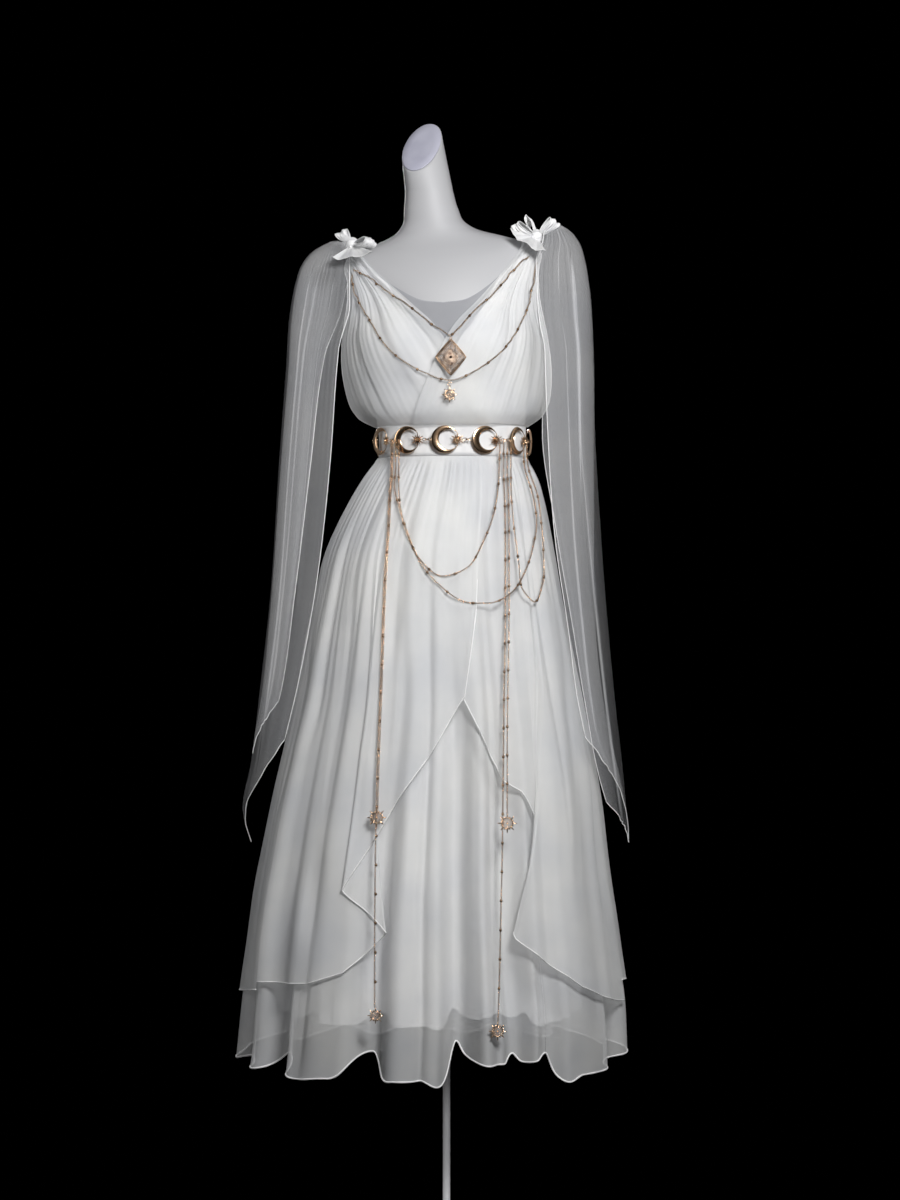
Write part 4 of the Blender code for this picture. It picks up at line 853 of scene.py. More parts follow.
# %% Bodice shape
CUP_SIDE, CUP_HEIGHT, CUP_WIDTH, CUP_TALL, CUP_RISE = 0.066, 1.452, 0.046, 0.050, 0.020
BODICE_FOLD_DEPTH, BODICE_GATHER_DEPTH, BODICE_LAP = 0.0024, 0.0014, 0.0062
BODICE_EASE = np.array([
    # height, at_side, at_front
    (1.3215, 0.0053, 0.0053),
    (1.326, 0.0120, 0.0085),
    (1.337, 0.0260, 0.0145),
    (1.355, 0.0360, 0.0180),
    (1.380, 0.0400, 0.0170),
    (1.420, 0.0370, 0.0130),
    (1.470, 0.0280, 0.0095),
    (1.520, 0.0180, 0.0075),
    (1.560, 0.0110, 0.0078),
    (1.600, 0.0072, 0.0068),
    (1.640, 0.0062, 0.0062),
])
FRONT_NECK_EDGE = np.array([
    # down, angle, height
    (0.00, -0.6, 1.617),
    (0.12, -28.0, 1.608),
    (0.30, -51.0, 1.563),
    (0.50, -71.0, 1.511),
    (0.65, -86.5, 1.470),
    (0.80, -101.0, 1.405),
    (1.00, -119.0, BODICE_BOTTOM),
])
BACK_NECK_EDGE = np.array([
    # down, angle, height
    (0.00, 0.6, 1.617),
    (0.12, 26.0, 1.616),
    (0.30, 50.0, 1.598),
    (0.50, 72.0, 1.572),
    (0.65, 86.0, 1.530),
    (0.80, 89.8, 1.450),
    (1.00, 89.8, BODICE_BOTTOM),
])
ARMHOLE_EDGE = np.array([
    # down, angle, height
    (0.00, 0.6, 1.595),
    (0.12, 13.0, 1.575),
    (0.30, 16.0, 1.540),
    (0.50, 9.0, 1.490),
    (0.65, 0.1, 1.450),
    (0.80, 0.1, 1.400),
    (1.00, 0.1, BODICE_BOTTOM),
])
print("bodice tables ready")


# %% [markdown]
# ## Halves of the bodice
# Gathered cloth stands up in narrow ridges that spread from the place where it is tied. Each half is a
# grid from its armhole edge to its neck edge, moved out from the form by its ease. Waves that follow the
# grid make the ridges, so they run with the cut edges, and finer waves between them keep them uneven.

# %% Bodice
def bodice_ease(angle, height):
    """How far the bodice stands out from the form: blousing, and the round of each cup."""
    side = curve_through(BODICE_EASE, height, 1)
    front = curve_through(BODICE_EASE, height, 2)
    sideways = np.cos(np.radians(angle)) ** 2
    half = curve_through(FORM_SECTIONS, height, 2)
    away = (np.abs(half * np.cos(np.radians(angle))) - CUP_SIDE) / CUP_WIDTH
    cup = CUP_RISE * np.exp(-away ** 2 - ((height - CUP_HEIGHT) / CUP_TALL) ** 2)
    facing_front = smooth_step(0.15, 0.5, -np.sin(np.radians(angle)))
    return front + (side - front) * sideways + cup * facing_front


def gathers(across, down, seed, count, depth):
    """Gathers that fan from the shoulder: waves across the panel, finer ones between them, deepest in the
    upper part, and uneven because each fades in and out on its own stretch."""
    coarse = uneven(across, down, seed, count, 0.5, 5)
    fine = uneven(across, down, seed + 1, count * 2.3, 0.8, 6)
    return depth * (coarse + 0.5 * fine) * np.sin(np.pi * np.clip(down * 0.94 + 0.03, 0, 1)) ** 0.6


def bodice_panel(side, front, neck_edge, folds, over, seed):
    """A gathered half between its armhole edge and its neck edge."""
    down, across = spread(110)[:, None], spread(150)[None, :]
    sign = -1 if front else 1
    outer_angle = sign * curve_through(ARMHOLE_EDGE, down, 1)
    outer_height = curve_through(ARMHOLE_EDGE, down, 2)
    angle = outer_angle + (curve_through(neck_edge, down, 1) - outer_angle) * across
    height = outer_height + (curve_through(neck_edge, down, 2) - outer_height) * across
    depth = BODICE_FOLD_DEPTH * np.sin(np.pi * np.clip(down * 1.02, 0, 1)) ** 0.8
    lap = over * smooth_step(-45, -60, angle) if front else 0.0
    out = bodice_ease(angle, height) + depth * np.cos(2 * np.pi * folds * across + 1.2) + lap
    out = out + gathers(across, down, seed, 9, BODICE_GATHER_DEPTH)
    if side == "left":
        angle = sign * 180 - angle
    grid = form_surface(angle, height, out)
    name = f"bodice_{'front' if front else 'back'}_{side}"
    sheet = panel(f"{name}_cloth", grid, FINISH["organza"], "organza")
    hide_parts(name)
    return grid


bodice_grids = {}
for side, over, seed in (("left", 0.0, 51), ("right", BODICE_LAP, 57)):
    bodice_grids["front", side] = bodice_panel(side, True, FRONT_NECK_EDGE, 4, over, seed)
    bodice_grids["back", side] = bodice_panel(side, False, BACK_NECK_EDGE, 3, 0.0, seed + 3)
print("bodice panels:", {key: grid.shape for key, grid in bodice_grids.items()})

# %% [markdown]
# ## Bodice lining and inset
# Under the sheer halves sits an opaque strapless lining whose scooped top shows through the front. In the
# V of the neckline an inset of organza covers it, and its dark grey is painted shade. Both are grids on the
# form's surface, moved out by a few millimetres, so that neither can cut into the form.

# %% Bodice lining and inset
LINING_NECKLINE = np.array([
    # angle from the side seam, height
    (1.0, 1.470), (12.0, 1.535), (24.0, 1.592), (40.0, 1.580), (60.0, 1.540), (75.0, 1.517), (90.0, 1.511),
])
BODICE_LINING_OUT, BODICE_LINING_BOTTOM = 0.0030, BAND_TOP + 0.001
for name, sign in (("bodice_lining_front", -1), ("bodice_lining_back", 1)):
    angles = 90 - 89 * np.cos(np.pi * spread(120))
    top = curve_through(LINING_NECKLINE, np.minimum(angles, 180 - angles), 1)
    heights = top + (BODICE_LINING_BOTTOM - top) * spread(36)[:, None]
    grid = form_surface(sign * angles[None, :], heights, np.full(heights.shape, BODICE_LINING_OUT))
    sheet = panel(f"{name}_cloth", grid, FINISH["satin_lining"], "satin_lining")
    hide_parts(name)

INSET_OUT, INSET_TOP, INSET_BOTTOM, INSET_LAP, INSET_ABOVE = 0.0042, 1.535, 1.436, 8.0, 0.004
inset_down, inset_across = spread(30)[:, None], spread(80, -1, 1)[None, :]
inset_level = INSET_TOP + (INSET_BOTTOM - INSET_TOP) * inset_down
inset_half = np.interp(-inset_level, -FRONT_NECK_EDGE[:, 2], FRONT_NECK_EDGE[:, 1]) + 90 + INSET_LAP
inset_angles = -90 + inset_half * inset_across
inset_top = curve_through(LINING_NECKLINE, 90 - np.abs(inset_angles + 90), 1) + INSET_ABOVE
inset_heights = inset_top + (INSET_BOTTOM - inset_top) * inset_down
inset_grid = form_surface(inset_angles, inset_heights, np.full(inset_heights.shape, INSET_OUT))
# The inset's dark grey finish is painted shade in the V of the neckline.
inset = panel("bodice_inset_cloth", inset_grid, FINISH["inset_organza"], "organza")
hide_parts("bodice_lining_front")
# Its outer columns slant to the point of the V, so its length is taken down the middle.
_, inset_wide, _, inset_area = CLOTH["bodice_inset_cloth"]
inset_long = float(along_path(inset_grid[:, inset_grid.shape[1] // 2])[-1])
CLOTH["bodice_inset_cloth"] = (inset, inset_wide, inset_long, inset_area)
print("inset:", round(inset_wide, 3), round(inset_long, 3))

# %% [markdown]
# ## Waistband
# The waistband is a doubled strip of satin, gathered a little, under the belt. Its satin is a darker
# copy of the lining's, painted shade where the front lamp meets the band squarely. A closed grid follows
# the form's own section all the way round, and a solidify modifier gives the strip its two faces.

# %% Waistband
band_angles = spread(361, 0, 360)[:-1]
band_down = spread(9)[:, None]
band_heights = BAND_TOP + (BAND_BOTTOM - BAND_TOP) * band_down
ruck = uneven(band_angles[None, :] / 360, band_down, 71, 40, 1.5) * np.sin(np.pi * band_down)
band_out = BAND_OUT + BAND_THICK / 2 + 0.0007 * ruck
band_grid = form_point(band_angles[None, :], band_heights + 0 * band_angles[None, :], band_out)
# The band's darker satin is painted shade, not a colour of its own.
waistband = panel(
    "waistband_cloth", band_grid, FINISH["band_satin"], "satin_lining", closed_round=True, thick=0.0018
)
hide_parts("waistband")
print("waistband round:", round(running_length(band_grid, 1)[-1], 3))

# %% [markdown]
# ## Sleeves
# Each sleeve is a long open panel of tulle, caught at the shoulder and folded once over the outer side, so
# that a front and a back layer hang from the fold. A table for each layer gives its inner and outer edge
# as the front view shows them, and its depth. Long soft waves run down it.

# %% Sleeve tables
SLEEVE_LEFT_FRONT = np.array([
    # height, inner_x, outer_x, depth
    (0.640, -0.300, -0.3170, 0.050),
    (0.704, -0.286, -0.3317, 0.060),
    (0.774, -0.270, -0.3187, 0.066),
    (0.895, -0.242, -0.3040, 0.068),
    (1.040, -0.216, -0.2877, 0.066),
    (1.262, -0.191, -0.2730, 0.062),
    (1.413, -0.180, -0.2616, 0.058),
    (1.518, -0.169, -0.2535, 0.050),
    (1.560, -0.165, -0.2450, 0.042),
    (1.589, -0.162, -0.2340, 0.034),
    (1.612, -0.1622, -0.2120, 0.024),
    (1.624, -0.1638, -0.1880, 0.016),
])
SLEEVE_LEFT_BACK = np.array([
    # height, inner_x, outer_x, depth
    (0.740, -0.306, -0.3170, 0.050),
    (0.790, -0.300, -0.3160, 0.056),
    (0.895, -0.272, -0.3000, 0.066),
    (1.040, -0.250, -0.2860, 0.072),
    (1.262, -0.222, -0.2700, 0.074),
    (1.413, -0.205, -0.2580, 0.068),
    (1.518, -0.185, -0.2500, 0.056),
    (1.560, -0.176, -0.2420, 0.046),
    (1.589, -0.168, -0.2310, 0.036),
    (1.612, -0.162, -0.2100, 0.024),
    (1.625, -0.166, -0.1880, 0.016),
])
SLEEVE_RIGHT_FRONT = np.array([
    # height, inner_x, outer_x, depth
    (0.640, 0.294, 0.2975, 0.052),
    (0.681, 0.288, 0.2945, 0.060),
    (0.748, 0.256, 0.2830, 0.070),
    (0.822, 0.222, 0.2660, 0.074),
    (0.877, 0.212, 0.2560, 0.074),
    (0.999, 0.197, 0.2430, 0.072),
    (1.128, 0.179, 0.2404, 0.068),
    (1.317, 0.166, 0.2404, 0.064),
    (1.456, 0.161, 0.2380, 0.056),
    (1.555, 0.158, 0.2320, 0.042),
    (1.594, 0.160, 0.2257, 0.036),
    (1.625, 0.160, 0.2150, 0.028),
    (1.642, 0.163, 0.2010, 0.020),
    (1.650, 0.168, 0.1880, 0.014),
])
SLEEVE_RIGHT_BACK = np.array([
    # height, inner_x, outer_x, depth
    (0.640, 0.286, 0.2975, 0.052),
    (0.747, 0.252, 0.2890, 0.070),
    (0.877, 0.226, 0.2747, 0.078),
    (0.999, 0.205, 0.2630, 0.080),
    (1.170, 0.175, 0.2502, 0.080),
    (1.317, 0.155, 0.2420, 0.078),
    (1.456, 0.158, 0.2395, 0.064),
    (1.555, 0.158, 0.2325, 0.044),
    (1.594, 0.160, 0.2250, 0.036),
    (1.625, 0.160, 0.2140, 0.028),
    (1.642, 0.163, 0.2000, 0.020),
    (1.650, 0.168, 0.1880, 0.014),
])
SLEEVES = (
    # name, table, -1 for the front layer or 1 for the back one, inner_hem, outer_hem, waves, seed,
    # and for each laid fold its place across and how far down it reaches
    ("left_front", SLEEVE_LEFT_FRONT, -1, 0.815, 0.646, 2.0, 81, ((0.45, 1.0), (0.79, 0.8))),
    ("left_back", SLEEVE_LEFT_BACK, 1, 0.872, 0.790, 2.5, 83, ((0.60, 1.1),)),
    ("right_front", SLEEVE_RIGHT_FRONT, -1, 0.822, 0.650, 2.0, 85, ((0.50, 0.6), (0.72, 1.1))),
    ("right_back", SLEEVE_RIGHT_BACK, 1, 0.706, 0.645, 2.5, 87, ((0.45, 1.1),)),
)
SLEEVE_WAVE, SLEEVE_CREASE, SLEEVE_GATHER, SLEEVE_CLEAR = 0.0035, 0.0022, 0.0034, 0.004
FOLD_WIDE, FOLD_SWING, FOLD_STEP, SHOULDER_REACH = 0.10, 0.0034, 0.0030, 0.012
print("sleeve layers:", [row[0] for row in SLEEVES])

# %% [markdown]
# ## Layers of a sleeve
# The two layers of a sleeve meet at the fold on the outer side. Each swings a quarter turn from there to
# its free inner edge, which leaves room for an arm between them. Waves and creases go outward along the
# way, narrow folds lie over on themselves, and points that would sink into the gown are moved out of it.

# %% Sleeves
def clear_of_gown(points, margin):
    """Moves points that lie inside the gown's outline out to it, along the way from its middle."""
    x, y, z = np.moveaxis(points, -1, 0)
    half_low = curve_through(SKIRT_SECTIONS, z, 2) + OVERSKIRT_OUT
    deep_low = curve_through(SKIRT_SECTIONS, z, 3) + OVERSKIRT_OUT
    half_high = curve_through(FORM_SECTIONS, z, 2) + curve_through(BODICE_EASE, z, 1)
    deep_high = curve_through(FORM_SECTIONS, z, 4) + curve_through(BODICE_EASE, z, 1)
    low = z < BAND_TOP
    middle = np.where(low, curve_through(SKIRT_SECTIONS, z, 1), curve_through(FORM_SECTIONS, z, 1))
    half = np.where(low, half_low, half_high) + margin
    deep = np.where(low, deep_low, deep_high) + margin
    inside = np.hypot((x - middle) / half, y / deep)
    grow = np.where(inside < 1, 1 / np.maximum(inside, 0.2), 1.0)
    return np.stack([middle + (x - middle) * grow, y * grow, z], axis=-1)


def laid_fold(across, place, width):
    """A narrow fold laid over on itself: the cloth runs on, back and on again while it steps outward.
    Gives the share of the sideways swing and the share of the step."""
    phase = 2 * np.pi * np.clip((across - place) / width + 0.5, 0, 1)
    return np.sin(phase), (1 - np.cos(phase / 2)) / 2


def sleeve(name, table, toward, inner_hem, outer_hem, waves, seed, folds):
    """One hanging layer, a quarter turn from the fold at the outer side to its free inner edge."""
    down, across = spread(100)[:, None] ** 1.1, spread(140)[None, :]
    top = table[-1, 0]
    hem = outer_hem + (inner_hem - outer_hem) * across
    height = top + (hem - top) * down
    inner, outer, depth = (curve_through(table, height, c) for c in (1, 2, 3))
    side = np.sign(outer)
    inner = inner - side * SHOULDER_REACH * window(1.44, 1.52, 1.59, 1.63, height)
    turn = np.pi / 2 * across
    ripple = SLEEVE_WAVE * np.sin(np.pi * down) * np.cos(2 * np.pi * waves * across)
    ripple = ripple + SLEEVE_CREASE * uneven(across, down, seed, 4, 0.5, 6) * smooth_step(0.0, 0.15, down)
    gather = uneven(across, 0 * down, seed + 1, 15, 0.0, 8) * np.exp(-down / 0.20)
    ripple = ripple + SLEEVE_GATHER * gather
    x = outer + (inner - outer) * (1 - np.cos(turn)) - side * ripple * np.sin(turn)
    step = 0.0
    for place, reach in folds:
        swing, lift = laid_fold(across + 0.03 * np.sin(5 * down + seed), place, FOLD_WIDE)
        fade = window(0.02, 0.10, reach - 0.25, reach, down)
        x = x - side * FOLD_SWING * swing * fade
        step = step + FOLD_STEP * (lift - across) * fade
    y = toward * (SEAM + (depth + ripple) * np.sin(turn) + step * np.sin(turn))
    grid = clear_of_gown(np.stack([x, y + 0 * x, height], axis=-1), SLEEVE_CLEAR)
    sheet = panel(f"{name}_cloth", grid, FINISH["tulle"], "tulle")
    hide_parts(name)
    return grid


sleeve_grids = {name: sleeve(f"sleeve_{name}", *row) for name, *row in SLEEVES}
print("sleeves:", {name: grid.shape for name, grid in sleeve_grids.items()})

# %% [markdown]
# ## Belt
# Eleven crescents go round the waistband. Each is a domed gold plate, thick at the back and thin at the
# horns, whose mouth holds a many-rayed star. A jump ring joins the star to the next crescent. The section
# of a crescent at each angle is a flattened round between the outer circle and a shifted inner circle.

# %% Stars, rays and balls
def star_shape(centre, reaches, notch, rise):
    """A faceted star: its tips reach out in turn, its notches lie between, and both faces rise."""
    count = 2 * len(reaches)
    turn = 2 * np.pi * np.arange(count) / count
    reach = np.full(count, notch)
    reach[::2] = reaches
    edge = ellipse(reach, reach, turn)
    points = np.concatenate([edge, [[0, 0, rise], [0, 0, -rise]]]) + np.array(centre)
    faces = [[i, (i + 1) % count, count] for i in range(count)]
    faces += [[(i + 1) % count, i, count + 1] for i in range(count)]
    return points, faces


def ball_shape(centre, radius, rings=6, sides=8, stretch=1.0):
    """A round bead with a pole at each end of its own Z, drawn out along Z by stretch."""
    fall = spread(rings + 1, 0, np.pi)[1:-1]
    turn = full_turn(sides)
    wide = radius * np.sin(fall)[:, None]
    high = np.broadcast_to(-radius * stretch * np.cos(fall)[:, None], (len(fall), sides))
    body = np.stack([wide * np.cos(turn), wide * np.sin(turn), high], axis=-1)
    points = np.concatenate([body.reshape(-1, 3), [[0, 0, -radius * stretch], [0, 0, radius * stretch]]])
    _, faces = rings_shape(body)
    south, north, last = len(points) - 2, len(points) - 1, (len(fall) - 1) * sides
    faces = faces[:-2] + [[(i + 1) % sides, i, south] for i in range(sides)]
    faces += [[last + i, last + (i + 1) % sides, north] for i in range(sides)]
    return points + np.array(centre), faces


def rays_shape(centre, reaches, inner, thick):
    """Blunt rays of round wire from an inner radius out to each reach, evenly round a centre."""
    turn = math.pi / 2 + 2 * np.pi * np.arange(len(reaches)) / len(reaches)
    taper = thick * np.array((0.75, 1.0, 0.95, 0.75, 0.45))
    ways = ellipse(1, 1, turn)
    paths = [np.array(centre) + way * spread(5, inner, reach)[:, None] for way, reach in zip(ways, reaches)]
    return joined([round_wire(path, taper) for path in paths])


print("star, ray and ball helpers ready")

# %% [markdown]
# ## Links of the belt
# The links are stamped alike, so one is made flat, about its own middle, and then set at each of eleven
# even steps round the waistband by a matrix. The steps are measured along the belt's own path, because
# equal angles would crowd the links at the sides of an oval waist.

# %% Belt links
LINK_COUNT, LINK_THICK, BELT_CLEAR, FIRST_LINK_ANGLE = 11, 0.0022, 0.0122, 264.7
MOON_RADIUS, MOON_INNER_RADIUS, MOON_INNER_SHIFT, MOON_MOUTH = 0.0222, 0.0164, 0.0060, math.radians(27)
STAR_PLACE, STAR_RAY, STAR_TALL_RAY, STAR_INNER, STAR_THICK = 0.0195, 0.0080, 0.0110, 0.0022, 0.0011
JUMP_RING_HALF_WIDTH, JUMP_RING_WIRE = 0.0021, 0.0006


def frame_at(point, across, facing):
    """The matrix that puts X along across, Y up and Z along facing at a point."""
    z = Vector(facing).normalized()
    x = Vector(across)
    x = (x - z * x.dot(z)).normalized()
    return Matrix.Translation(Vector(point)) @ Matrix((x, z.cross(x), z)).transposed().to_4x4()


def crescent_shape():
    """Sections between the outer circle and the inner circle, at every angle outside the mouth."""
    turn = spread(49, MOON_MOUTH, 2 * np.pi - MOON_MOUTH)
    inner = MOON_INNER_SHIFT * np.cos(turn) + np.sqrt(
        MOON_INNER_RADIUS ** 2 - (MOON_INNER_SHIFT * np.sin(turn)) ** 2
    )
    middle, half = (MOON_RADIUS + inner) / 2, (MOON_RADIUS - inner) / 2
    section = full_turn(12)
    radius = middle[:, None] + half[:, None] * np.cos(section)
    high = np.minimum(LINK_THICK / 2, half * 0.8)[:, None] * np.sin(section)
    plate = np.stack([radius * np.cos(turn)[:, None], radius * np.sin(turn)[:, None], high], axis=-1)
    inside = (turn > 1.2) & (turn < 2 * np.pi - 1.2)
    rim = (inner + 0.30 * half)[inside, None] * np.stack([np.cos(turn), np.sin(turn)], axis=-1)[inside]
    rim = np.concatenate([rim, np.full((len(rim), 1), LINK_THICK * 0.40)], axis=1)
    return joined([rings_shape(plate), round_wire(rim, 0.00065, 5)])


def link_shape(link_length):
    """Crescent, star, and the small rings that reach the next crescent."""
    reaches = np.where(np.arange(12) % 2 == 0, STAR_TALL_RAY, STAR_RAY)
    rays = rays_shape((STAR_PLACE, 0, 0.0006), reaches, STAR_INNER, STAR_THICK)
    star = star_shape((STAR_PLACE, 0, 0.0004), reaches * 0.55, STAR_INNER * 1.6, 0.0030)
    boss = ball_shape((STAR_PLACE, 0, 0.0024), 0.0024, 5, 10)
    start = STAR_PLACE + STAR_TALL_RAY * 0.86
    steps = spread(4, start, link_length - MOON_RADIUS - JUMP_RING_WIRE)
    small = [
        hoop(((a + b) / 2, 0, 0), (b - a) / 2 + 0.0009, JUMP_RING_HALF_WIDTH, JUMP_RING_WIRE)
        for a, b in zip(steps, steps[1:])
    ]
    small[1] = placed(small[1], Matrix.Rotation(math.radians(70), 4, "X"))
    return joined([crescent_shape(), star, rays, boss, *small])


def point_at(at, along, path):
    """Points of a path at the given lengths along it."""
    return np.stack([np.interp(at, along, path[:, c]) for c in range(3)], axis=-1)


belt_angles = spread(721, 0, 360)
belt_points = form_point(belt_angles, np.full(belt_angles.shape, BELT_HEIGHT), BAND_THICK + BELT_CLEAR)
belt_along = along_path(belt_points)
belt_length = belt_along[-1]
first_corner = np.interp(FIRST_LINK_ANGLE, belt_angles, belt_along) - MOON_RADIUS
places = (first_corner + np.arange(LINK_COUNT + 1) * belt_length / LINK_COUNT) % belt_length
corners = point_at(places, belt_along, belt_points)
for i in range(LINK_COUNT):
    tangent = corners[i + 1] - corners[i]
    shape = link_shape(np.linalg.norm(tangent))
    tangent = unit(tangent)
    place = frame_at(corners[i] + tangent * MOON_RADIUS, tangent, np.cross(tangent, UP))
    link = hard_piece(f"belt_moon_{i + 1:02d}", placed(shape, place), FINISH["rose_gold"], sharp=35)
    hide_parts(f"belt_link_{i + 1:02d}")
print("belt links:", LINK_COUNT, "faces each:", len(shape[1]))

# %% [markdown]
# ## Chains
# The chains are fine cable links with a small round bead every four centimetres or so. Their routes are
# read from the front view, as x and height in the plane of the pole, and laid on the cloth by a ray from
# the eye. Where the cloth dips, a taut chain bridges the hollow. The hanging strands leave the belt's
# links and fall in front of the skirt.

# %% Routes
BELT_TIE = 1.3012
ROUTES = {
    "necklace_v": [
        (-0.151, 1.578), (-0.130, 1.567), (-0.102, 1.548), (-0.073, 1.527), (-0.043, 1.504),
        (-0.014, 1.483), (0.007, 1.471), (0.017, 1.480), (0.043, 1.509), (0.071, 1.536), (0.095, 1.562),
        (0.121, 1.589), (0.133, 1.600),
    ],
    "necklace_swag": [
        (-0.154, 1.570), (-0.150, 1.545), (-0.138, 1.518), (-0.121, 1.490), (-0.104, 1.462),
        (-0.071, 1.431), (-0.030, 1.408), (0.006, 1.398), (0.033, 1.406), (0.053, 1.418), (0.089, 1.446),
        (0.115, 1.480), (0.130, 1.513), (0.139, 1.547), (0.144, 1.575), (0.146, 1.592),
    ],
    "strand_left": [
        (-0.089, BELT_TIE), (-0.089, 1.258), (-0.092, 1.211), (-0.094, 1.166), (-0.100, 1.073),
        (-0.105, 0.939), (-0.110, 0.809), (-0.113, 0.721), (-0.115, 0.600), (-0.116, 0.466),
        (-0.116, 0.376),
    ],
    "strand_right_outer": [
        (0.099, BELT_TIE), (0.099, 1.258), (0.101, 1.203), (0.102, 1.126), (0.102, 1.033), (0.100, 0.898),
        (0.099, 0.809), (0.099, 0.692),
    ],
    "strand_right_inner": [
        (0.093, BELT_TIE), (0.093, 1.258), (0.095, 1.203), (0.096, 1.126), (0.096, 1.033), (0.094, 0.898),
        (0.093, 0.809), (0.092, 0.719), (0.091, 0.633), (0.089, 0.543), (0.087, 0.453), (0.084, 0.352),
    ],
    "swag_inner": [
        (-0.083, BELT_TIE), (-0.083, 1.258), (-0.085, 1.229), (-0.077, 1.190), (-0.063, 1.144),
        (-0.042, 1.105), (-0.007, 1.079), (0.035, 1.094), (0.059, 1.133), (0.076, 1.177), (0.084, 1.221),
        (0.086, 1.258), (0.087, BELT_TIE),
    ],
    "swag_outer": [
        (-0.077, BELT_TIE), (-0.078, 1.250), (-0.074, 1.185), (-0.061, 1.143), (-0.042, 1.100),
        (-0.011, 1.064), (0.027, 1.038), (0.069, 1.035), (0.107, 1.053), (0.128, 1.086), (0.141, 1.126),
        (0.147, 1.166), (0.141, 1.210), (0.127, 1.258), (0.1260, BELT_TIE),
    ],
    "side_loop": [
        (0.105, BELT_TIE), (0.105, 1.250), (0.107, 1.188), (0.112, 1.143), (0.118, 1.099), (0.125, 1.056),
        (0.144, 1.037), (0.157, 1.068), (0.158, 1.118), (0.155, 1.162), (0.148, 1.212), (0.133, 1.258),
        (0.1310, BELT_TIE),
    ],
}
NECKLACE_OUT, TIE_OUT = 0.0020, 0.0155
STRAND_OUT = {
    "strand_left": 0.0155, "strand_right_outer": 0.0138, "strand_right_inner": 0.0090,
    "swag_inner": 0.0158, "swag_outer": 0.0182, "side_loop": 0.0206,
}
print("routes:", {name: len(route) for name, route in ROUTES.items()})

# %% [markdown]
# ## Laying a chain on cloth
# A fine chain lies on what is under it and hangs free only over hollows. The two necklaces are laid by
# rays from the eye that stop at the nearest sheet, then pulled taut. The strands hang before the skirt,
# whose folds lie inside its outline, so the outline itself carries them and no ray is needed.

# %% Chains laid on the cloth
def smooth_route(points, count):
    """Points at equal steps along a smooth curve through a route's own points."""
    points = np.asarray(points, float)
    along = along_path(points)
    table = np.column_stack([along, points])
    at = spread(count, 0.0, along[-1])
    return np.stack([curve_through(table, at, column) for column in range(1, points.shape[1] + 1)], axis=-1)


def skirt_front(x, height, out):
    """Depth of the skirt's outline in front, moved out."""
    middle, half, deep = (curve_through(SKIRT_SECTIONS, height, c) for c in (1, 2, 3))
    inside = np.clip((x - middle) / (half + out), -0.985, 0.985)
    return -(deep + out) * np.sqrt(1 - inside ** 2)


def on_skirt(x, height, out):
    """The point in front of the skirt that the front view shows at x and height: a nearer point looks
    larger, so x and height shrink toward the eye's own by the depth, found in four rounds."""
    depth = 0.0
    for _ in range(4):
        nearer = 1 + depth / EYE_DISTANCE
        true_x = EYE_X + (x - EYE_X) * nearer
        true_height = EYE_HEIGHT + (height - EYE_HEIGHT) * nearer
        depth = skirt_front(true_x, true_height, out)
    return np.stack([true_x, depth, true_height], axis=-1)


def on_cloth(names, views, out):
    """Points where rays from the eye through the places meet the named pieces, moved out square to them."""
    bpy.context.view_layer.update()
    graph = bpy.context.evaluated_depsgraph_get()
    eye = Vector((EYE_X, -EYE_DISTANCE, EYE_HEIGHT))
    trees = [BVHTree.FromObject(bpy.data.objects[name], graph) for name in names]
    found = []
    for x, height in views:
        sight = Vector((x, 0.0, height)) - eye
        hits = [hit for hit in (tree.ray_cast(eye, sight) for tree in trees) if hit[0]]
        if hits:
            met, normal, _, _ = min(hits, key=lambda hit: hit[3])
            found.append(met + (normal if normal.dot(sight) < 0 else -normal) * out)
    return np.array(found)


def taut(points):
    """Bridges hollows: along the chain, the depth becomes the upper hull of the cloth's depth."""
    along = along_path(points)
    depth = points[:, 1]
    hull = []
    for i in range(len(points)):
        while len(hull) > 1:
            a, b = hull[-2], hull[-1]
            share = (along[b] - along[a]) / (along[i] - along[a])
            if depth[b] <= depth[a] + (depth[i] - depth[a]) * share:
                break
            hull.pop()
        hull.append(i)
    points[:, 1] = np.interp(along, along[hull], depth[hull])
    return points


BODICE_FRONT = (
    "bodice_front_left_cloth", "bodice_front_right_cloth", "bodice_lining_front_cloth", "form_body",
)
chain_paths = {}
for name in ("necklace_v", "necklace_swag"):
    chain_paths[name] = taut(on_cloth(BODICE_FRONT, smooth_route(ROUTES[name], 120), NECKLACE_OUT))
for name, out in STRAND_OUT.items():
    flat_route = smooth_route(ROUTES[name], 200)
    stand_off = np.interp(flat_route[:, 1], (1.20, 1.262), (out, TIE_OUT))
    chain_paths[name] = on_skirt(flat_route[:, 0], flat_route[:, 1], stand_off)
for name, path in chain_paths.items():
    print(f"{name}: {along_path(path)[-1]:.3f} m")

# %% [markdown]
# ## Links and beads
# One link and one bead are made once, and then copied along a path by array sums: each copy takes the
# path's direction, and every second link is turned a quarter round it, as in a real cable chain.

# %% Chains from links
LINK_PITCH, LINK_LONG, LINK_WIDE, LINK_WIRE = 0.0027, 0.0020, 0.0013, 0.00042
LINK_TILT, DIRECTION_STEP = math.radians(40), 0.0008
BEAD_RADIUS, NECKLACE_BEADS, STRAND_BEADS = 0.0023, 0.041, 0.045
TWIN_GAP, TWIN_END = 0.0024, 0.70


def copies(shape, centres, along, side, over):
    """A shape repeated at centres, with its X, Y and Z along the three given directions."""
    points, faces = shape
    placed_points = centres[:, None] + (
        points[None, :, 0:1] * along[:, None] + points[None, :, 1:2] * side[:, None]
        + points[None, :, 2:3] * over[:, None]
    )
    starts = np.arange(len(centres)) * len(points)
    groups = []
    for size in {len(face) for face in faces}:
        same = np.array([face for face in faces if len(face) == size])
        groups += (same[None] + starts[:, None, None]).reshape(-1, size).tolist()
    return placed_points.reshape(-1, 3), groups


